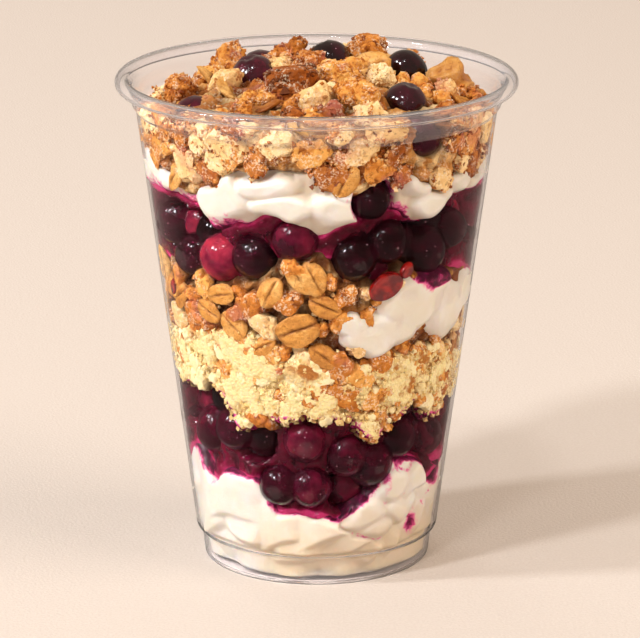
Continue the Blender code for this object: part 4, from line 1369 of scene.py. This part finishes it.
def granola(core, oats, golden, pale):
    """The granola: packed crumbs, flakes and clusters at the wall, and small crumbs between."""
    azimuth, height = side_grid(CAKE_TOP, GRANOLA_TOP, 320, 32, 2.6)
    at_wall = polar(azimuth, 40.0, height)
    above = true_distance(CAKE_TOP, azimuth, height)
    below = -true_distance(GRANOLA_TOP, azimuth, height)
    stand, tone = crumbly(at_wall, 41, ((5.0, 3.0), (2.2, 1.4), (1.0, 0.6)))
    depth = 5.4 - stand + shoulder(above + 0.6, 1.4) + shoulder(below + 0.6, 1.4)
    # Painted shade: the crease and the depth share darken the core where it lies farther behind the
    # wall.
    made = closed_layer("granola_core", CAKE_TOP, GRANOLA_TOP, azimuth, height, depth,
                        {"crease": np.clip((depth - 1.4) / 3.2, 0.0, 1.0), "tone": tone,
                         "depth_shade": fade(0.4, 3.4, depth)}, smooth=False)
    made.data.materials.append(core)
    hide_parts("granola")
    draw = random.Random(12)
    flakes = Heap("granola_oats")
    clumps, crumbs = Heap("granola_clumps", smooth=False), Heap("granola_crumbs", smooth=False)
    oat_shapes = [oat_shape(k) for k in range(8)]
    clump_shapes = [cluster_shape(k + 20, 3, 0.26, 18) for k in range(6)]
    small = [crumb_shape(k + 27, 1) for k in range(6)]
    for k, (at, middle, spin, length) in enumerate(FLAKES):
        place = polar(at, wall_radius(middle) - 0.75, middle)
        turn = wall_turn(at, math.radians(spin), draw.uniform(-0.12, 0.12))
        flakes.add(oat_shapes[k % 8], place, turn, length, draw.uniform(0.1, 0.6))
    for k, (at, middle, half) in enumerate(CLUSTERS):
        turn = any_turn(draw)
        place = polar(at, wall_radius(middle) - 0.6 * half, middle)
        heap = crumbs if k % 3 == 2 else clumps
        heap.add(clump_shapes[k % 6], place, turn, 1.15 * half, draw.random())
    taken = [(at, middle) for at, middle, _, _ in FLAKES] + [(at, middle) for at, middle, _ in CLUSTERS]
    for _ in range(GRANOLA_TRIES):
        at = draw.uniform(-180.0, 180.0)
        low, high = wall_line(CAKE_TOP, at), wall_line(GRANOLA_TOP, at)
        middle = draw.uniform(low - 0.5, high - 2.0)
        arc = wall_arc(middle)
        near = min(math.hypot(turned(at, a) * arc, middle - h) for a, h in taken)
        if near < 4.3 or in_spoonful(at, middle):
            continue
        taken.append((at, middle))
        if draw.random() < (0.12 if abs(at) < 70.0 else 0.4) and middle > low + 3.0:
            place = polar(at, wall_radius(middle) - draw.uniform(0.8, 2.0), middle)
            turn = wall_turn(at, draw.uniform(0.0, FULL_TURN), draw.uniform(-0.45, 0.45),
                             draw.uniform(-0.4, 0.4))
            flakes.add(draw.choice(oat_shapes), place, turn, draw.uniform(7.5, 10.0),
                       draw.random())
        else:
            size = draw.uniform(2.2, 3.8)
            place = polar(at, wall_radius(middle) - 0.75 * size, middle)
            turn = any_turn(draw)
            heap = clumps if draw.random() < 0.65 else crumbs
            heap.add(draw.choice(clump_shapes), place, turn, size, draw.random())
    for _ in range(GRANOLA_CRUMBS):
        at = draw.uniform(-180.0, 180.0)
        middle = draw.uniform(wall_line(CAKE_TOP, at) - 0.5, wall_line(GRANOLA_TOP, at) - 1.0)
        size = draw.uniform(0.6, 1.7)
        if in_spoonful(at, middle):
            continue
        place = polar(at, wall_radius(middle) - draw.uniform(0.8, 3.0) - 0.5 * size, middle)
        turn = any_turn(draw)
        heap = clumps if draw.random() < 0.6 else crumbs
        heap.add(draw.choice(small), place, turn, size, draw.random())
    pieces = []
    for heap, material in ((flakes, oats), (clumps, golden), (crumbs, pale)):
        piece = heap.build()
        piece.data.materials.append(material)
        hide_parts("granola")
        pieces.append(piece)
    return [made, *pieces]


# --- Topping -----------------------------------------------------------------------------


def heap_core(material):
    """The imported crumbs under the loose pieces: the side at the wall, and the top up to the axis."""
    columns, side_rows, top_rows = 330, 26, 60
    azimuth, height = side_grid(CREAM_HIGH_TOP, CRUMBLE_TOP, columns, side_rows, 0.0)
    height = height - 2.6 * (1.0 - np.linspace(0.0, 1.0, side_rows)[:, None])
    share = np.linspace(0.985, 0.02, top_rows)[:, None]
    around = np.broadcast_to(azimuth[:1], (top_rows, columns))
    at_wall = polar(azimuth, HEAP_RADIUS, height)
    top = polar(around, HEAP_RADIUS * share, heap_top(around, share))
    above = true_distance(CREAM_HIGH_TOP, azimuth, height)
    side_stand, side_tone = crumbly(at_wall, 51, HEAP_LUMPS)
    top_stand, top_tone = crumbly(top, 51, HEAP_LUMPS)
    near = np.linalg.norm(at_wall - centre_of("berry_under_rim"), axis=-1)
    depth = np.clip(5.0 - side_stand, 0.0, None) + shoulder(above + 1.0, 1.4)
    depth = np.maximum(depth, 6.0 * fade(1.5 * BERRY, 1.1 * BERRY, near))
    radius = wall_radius(height) + REACH - depth
    side = polar(azimuth, radius, height)
    edge = fade(0.86, 1.0, share)
    reach = (1.0 - edge) * HEAP_RADIUS * share + edge * radius[-1:] * share / 0.985
    top = polar(around, reach, top[..., 2] + (1.0 - edge) * (top_stand - 2.6))
    under = [polar(azimuth[:1], radius[:1] * s, surface(CREAM_HIGH_TOP, azimuth[:1], s))
             for s in (0.4, 0.7)]
    rings = np.concatenate([*under, side, top])
    stand = np.concatenate([side_stand[:1], side_stand[:1], side_stand, top_stand])
    # Painted shade: the crease darkens the cracks between lumps, and the depth share what lies far in.
    crease = np.clip(1.0 - (stand - 1.0) / 2.6, 0.0, 1.0)
    tone = np.concatenate([side_tone[:1], side_tone[:1], side_tone, top_tone])
    values = {"crease": crease, "tone": tone, "depth_shade": depth_shade_share(rings)}
    made = lathe_grid("crumble_core", rings, values, smooth=False)
    made.data.materials.append(material)
    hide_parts("crumble_topping")
    return made


def clear_of(place, size, berries):
    """Whether a piece keeps clear of the loose berries."""
    return all(math.dist(place, middle) > BERRY + 0.95 * size for middle in berries)


def topping(core, golden, brown, pale, nut, oats, berries):
    """The heap: packed crumbs, chosen pieces, loose ones over them, and grains between."""
    made = [heap_core(core)]
    draw = random.Random(77)
    heaps = {kind: Heap("topping_" + kind, smooth=kind in ("nut", "flake"))
             for kind in ("golden", "brown", "pale", "nut", "flake")}
    fine = [cluster_shape(k + 60, 5, 0.2, 180) for k in range(5)]
    coarse = [cluster_shape(k + 70, 3, 0.26, 40) for k in range(7)]
    tiny = [crumb_shape(k + 80, 1) for k in range(5)]
    nuts = [nut_shape(k + 90, 5) for k in range(2)]
    oat_shapes = [oat_shape(k + 100) for k in range(6)]
    for k, (x, y, z, half, kind) in enumerate(TOPPING_PIECES):
        turn = any_turn(draw)
        if kind == "flake":
            turn = Euler((0.5 + draw.uniform(-0.2, 0.5), draw.uniform(-0.4, 0.4),
                          draw.uniform(0.0, FULL_TURN)))
            heaps[kind].add(draw.choice(oat_shapes), (x, y, z), turn, 2.0 * half, 0.2)
            continue
        shape = nuts[k % 2] if kind == "nut" else fine[k % 5]
        scale = half * 1.3 * np.array([1.0, draw.uniform(0.8, 1.0), draw.uniform(0.8, 1.0)])
        heaps[kind].add(shape, (x, y, z), turn, scale, draw.random())
    taken = [(x, y, half) for x, y, _, half, _ in TOPPING_PIECES]
    for k in range(HEAP_COUNT):
        share = math.sqrt((k + 0.5) / HEAP_COUNT)
        azimuth = k * GOLDEN_ANGLE % 360.0 - 180.0
        size = draw.uniform(1.6, 5.0)
        x, y, _ = polar(azimuth, 42.5 * share, 0.0)
        crowded = any(math.hypot(x - a, y - b) < 0.8 * half for a, b, half in taken)
        z = float(heap_top(azimuth, share)) + draw.uniform(0.0, 0.6) * size
        if crowded or not clear_of((x, y, z), size, berries):
            continue
        turn = any_turn(draw)
        if draw.random() < 0.07:
            flat = Euler((draw.uniform(-0.6, 0.6), draw.uniform(-0.6, 0.6),
                          draw.uniform(0.0, FULL_TURN)))
            heaps["flake"].add(draw.choice(oat_shapes), (x, y, z + 0.4), flat, draw.uniform(7, 10),
                               draw.random())
            continue
        kind = draw.choices(("golden", "brown", "pale"), (0.5, 0.35, 0.15))[0]
        shape = draw.choice(coarse if size > 2.2 else tiny)
        stretch = [size * draw.uniform(0.75, 1.35) for _ in range(3)]
        heaps[kind].add(shape, (x, y, z), turn, stretch, draw.random())
    wall_crumbs(heaps, coarse, oat_shapes, berries, draw)
    grains = [grain_shape(k) for k in range(8)]
    dusted = (("golden", "pale"), ("brown", "golden"), ("pale", "golden"))
    for kind, other in (*dusted, ("brown", "brown")):
        sprinkle(heaps[other], np.concatenate(heaps[kind].points), grains, draw, SIDE_GRAINS, 3.5,
                 (0.3, 0.75))
    for kind, other in dusted:
        for place in heaps[kind].crowns(draw, TOP_GRAINS):
            turn = any_turn(draw)
            heaps[other].add(draw.choice(grains), place, turn, draw.uniform(0.3, 0.85), draw.random())
    looks = {"golden": golden, "brown": brown, "pale": pale, "nut": nut, "flake": oats}
    for kind, heap in heaps.items():
        piece = heap.build()
        piece.data.materials.append(looks[kind])
        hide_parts("crumble_topping")
        made.append(piece)
    return made


def wall_crumbs(heaps, shapes, oat_shapes, berries, draw):
    """Crumbs that show through the wall under the rim."""
    taken = []
    for azimuth, height, size, kind in WALL_PIECES:
        taken.append((azimuth, height, size))
        if kind == "flake":
            turn = wall_turn(azimuth, draw.uniform(1.0, 2.1), draw.uniform(-0.2, 0.2))
            place = polar(azimuth, wall_radius(height) - 1.0, height)
            heaps[kind].add(draw.choice(oat_shapes), place, turn, 2.0 * size, 0.25)
            continue
        turn = any_turn(draw)
        place = polar(azimuth, wall_radius(height) - 0.62 * size, height)
        heaps[kind].add(draw.choice(shapes), place, turn, 1.25 * size, draw.uniform(0.0, 0.6))
    for _ in range(WALL_TRIES):
        azimuth = draw.uniform(-180.0, 180.0)
        low, high = wall_line(CREAM_HIGH_TOP, azimuth), wall_line(CRUMBLE_TOP, azimuth)
        height = draw.uniform(low + 1.0, high + 1.0)
        arc = HEAP_RADIUS * math.radians(1.0)
        size = draw.uniform(2.6, 5.4)
        near = [math.hypot(turned(azimuth, a) * arc, height - h) - 0.62 * s
                for a, h, s in taken]
        place = polar(azimuth, wall_radius(height) - 0.62 * size, height)
        if (near and min(near) < 0.55 * size) or not clear_of(place, size, berries):
            continue
        taken.append((azimuth, height, size))
        if draw.random() < 0.15:
            turn = wall_turn(azimuth, draw.uniform(0.0, FULL_TURN), draw.uniform(-0.3, 0.3))
            place = polar(azimuth, wall_radius(height) - 1.0, height)
            heaps["flake"].add(draw.choice(oat_shapes), place, turn, draw.uniform(7, 9.5),
                               draw.random())
            continue
        turn = any_turn(draw)
        kind = draw.choices(("golden", "brown", "pale"), (0.5, 0.32, 0.18))[0]
        stretch = [size * draw.uniform(0.75, 1.3) for _ in range(3)]
        heaps[kind].add(draw.choice(shapes), place, turn, stretch, draw.random())


def loose_berries(material):
    """One berry in the place of each loose berry's solid."""
    made = []
    draw = random.Random(9)
    for k, node in enumerate(LOOSE_BERRIES):
        low, high = (np.array(corner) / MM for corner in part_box(node))
        heap = Heap(node + "_fruit")
        turn = Euler((draw.uniform(-1.2, 1.2), draw.uniform(-1.2, 1.2), draw.uniform(0.0, FULL_TURN)))
        size = (high - low).max() / 2.0 * 1.02
        heap.add(berry_shape(200 + k, 28, 40), (low + high) / 2.0, turn, size, 0.5 * draw.random())
        piece = heap.build()
        piece.data.materials.append(material)
        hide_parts(node)
        made.append(piece)
    return made


# --- Cup ---------------------------------------------------------------------------------


def arc_points(centre, radius, start, end, steps):
    """Points of a section's round part, from one angle in degrees to another."""
    angles = np.radians(np.linspace(start, end, steps))
    return [(centre[0] + radius * math.cos(a), centre[1] + radius * math.sin(a)) for a in angles]


def rounded(points, radius, steps=4):
    """The same outline with its corners rounded off."""
    made = [points[0]]
    for before, corner, after in zip(points, points[1:], points[2:]):
        corner = Vector(corner)
        back, ahead = Vector(before) - corner, Vector(after) - corner
        cut = min(radius, 0.45 * back.length, 0.45 * ahead.length)
        start, end = corner + back.normalized() * cut, corner + ahead.normalized() * cut
        for k in range(steps + 1):
            t = k / steps
            made.append(tuple(start * (1 - t) ** 2 + corner * 2 * t * (1 - t) + end * t ** 2))
    made.append(points[-1])
    return made


def cup(wall, worked, foot):
    """The cup's whole section turned round its axis, with the corners softened."""
    centre = (RIM_RADIUS - CURL_RADIUS, CUP_HEIGHT - CURL_RADIUS)
    start, end = (0.0, PANEL_HEIGHT + WALL), (centre[0] - CURL_RADIUS, centre[1])
    inside = rounded([start, *inner_wall(), end], 0.8)
    over = arc_points(centre, CURL_RADIUS, 165, -70, 16)
    under = arc_points(centre, CURL_RADIUS - WALL, -70, 165, 16)
    outside = rounded([
        (STACK_RADIUS + STACK_STEP + 0.3, NECK_HEIGHT),
        (STACK_RADIUS + STACK_STEP, STACK_HEIGHT + 1.2),
        (STACK_RADIUS, STACK_HEIGHT + 0.1),
        (SHOULDER_RADIUS, SHOULDER_HEIGHT),
        (FOOT_RADIUS + 0.7, FOOT_HEIGHT),
        (FOOT_RADIUS, 0.6),
        (FOOT_RADIUS - 0.6, 0.0),
        (FOOT_RADIUS - 0.6 - FOOT_FLAT, 0.0),
        (PANEL_RADIUS - 0.6, PANEL_HEIGHT),
        (0.0, PANEL_HEIGHT),
    ], 0.8)
    profile = np.array([*inside[:-1], *over, *under, *outside])
    columns = 160
    azimuth = np.linspace(-180.0, 180.0, columns, endpoint=False)
    ring = profile[1:-1]
    rows = polar(azimuth[None, :], ring[::-1, :1], ring[::-1, 1:])
    made = lathe_grid("cup_shell", rows, {})
    for material in (wall, worked, foot):
        made.data.materials.append(material)
    for face in made.data.polygons:
        height = face.center.z / MM
        face.material_index = 1 if height > STACK_HEIGHT - 0.2 else 2 * (height < SHOULDER_HEIGHT + 0.6)
    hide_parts("cup")
    return made


# --- Scene -------------------------------------------------------------------------------


def area_light(name, place, target, size, power, colour, glints):
    """A lamp that shines at the target. Without glints it shows in no reflection."""
    lamp = bpy.data.lights.new(name, "AREA")
    lamp.shape = "RECTANGLE"
    lamp.size, lamp.size_y = size
    lamp.energy = power
    lamp.color = colour
    made = bpy.data.objects.new(name, lamp)
    made.location = place
    made.rotation_euler = (Vector(target) - Vector(place)).to_track_quat("-Z", "Y").to_euler()
    made.visible_glossy = glints
    made.visible_transmission = glints
    bpy.context.scene.collection.objects.link(made)


def studio():
    """The floor, the lamps and the surroundings."""
    bpy.ops.mesh.primitive_circle_add(vertices=96, radius=FLOOR_RADIUS, fill_type="NGON",
                                      location=(0, 0, 0))
    floor = bpy.context.object
    floor.name = "floor"
    floor.data.materials.append(floor_material())
    floor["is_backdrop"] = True
    for lamp in LAMPS:
        area_light(*lamp)
    world = bpy.data.worlds.new("studio")
    bpy.context.scene.world = world
    world.use_nodes = True
    tree = world.node_tree
    background = tree.nodes["Background"]
    background.inputs["Color"].default_value = SURROUNDINGS
    strength = tree.nodes.new("ShaderNodeMapRange")
    strength.inputs["To Min"].default_value = BRIGHTNESS
    strength.inputs["To Max"].default_value = DIMMED_BRIGHTNESS
    tree.links.new(mirrored(tree), strength.inputs["Value"])
    tree.links.new(strength.outputs["Result"], background.inputs["Strength"])
    bpy.context.scene.view_settings.view_transform = "Standard"


def camera():
    """The camera in front of the cup, a little above it."""
    lens = bpy.data.cameras.new("camera")
    lens.lens = CAMERA_LENS
    lens.sensor_width = CAMERA_SENSOR
    lens.shift_x = CAMERA_SHIFT
    lens.clip_start, lens.clip_end = CAMERA_RANGE
    made = bpy.data.objects.new("camera", lens)
    tilt = math.radians(CAMERA_ELEVATION)
    made.location = (0.0, -CAMERA_DISTANCE * MM * math.cos(tilt),
                     (CAMERA_TARGET + CAMERA_DISTANCE * math.sin(tilt)) * MM)
    made.rotation_euler = (math.radians(90.0) - tilt, 0.0, 0.0)
    bpy.context.scene.collection.objects.link(made)
    bpy.context.scene.camera = made


def main():
    """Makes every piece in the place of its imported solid, and the stage round them."""
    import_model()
    solid_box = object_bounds()
    cream = cream_material()
    jelly = compote_material()
    skin = berry_material()
    golden = baked_material("golden_crumb", GOLDEN)
    brown = baked_material("brown_crumb", BROWN)
    pale = baked_material("pale_crumb", PALE, 0.85)
    sponge = baked_material("sponge_lump", SPONGE, 0.9, 0.35, 0.12)
    nut = baked_material("nut", NUT, 0.4, 0.1)
    oats = oat_material()
    core = mixed_crumb_material()
    berries = [centre_of(node) for node in LOOSE_BERRIES]
    crumbs = cake(cake_material())
    pieces = {
        "cream": [cream_low(cream), spoonful(cream), cream_high(cream)],
        "compote": [*compote("low_compote", "compote_low", CREAM_LOW_TOP, COMPOTE_LOW_TOP,
                             BERRIES_LOW, 3, 3.0, jelly, skin),
                    *compote("high_compote", "compote_high", GRANOLA_TOP, COMPOTE_HIGH_TOP,
                             BERRIES_HIGH, 4, 4.2, jelly, skin),
                    syrup_drops(syrup_material())],
        "cake": [crumbs, *cake_lumps(crumbs, sponge, golden)],
        "granola": granola(core, oats, golden, pale),
        "crumble": topping(core, golden, brown, pale, nut, oats, berries),
        "blueberry_skin": loose_berries(skin),
        "clear_plastic": [cup(*[clear_plastic(*look) for look in PLASTICS])],
    }
    for slot, made in pieces.items():
        for piece in made:
            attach(piece, "root")
    studio()
    camera()
    boxes = {"solids": solid_box, "scene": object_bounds()}
    {name: [list(corner) for corner in box] for name, box in boxes.items()}


main()
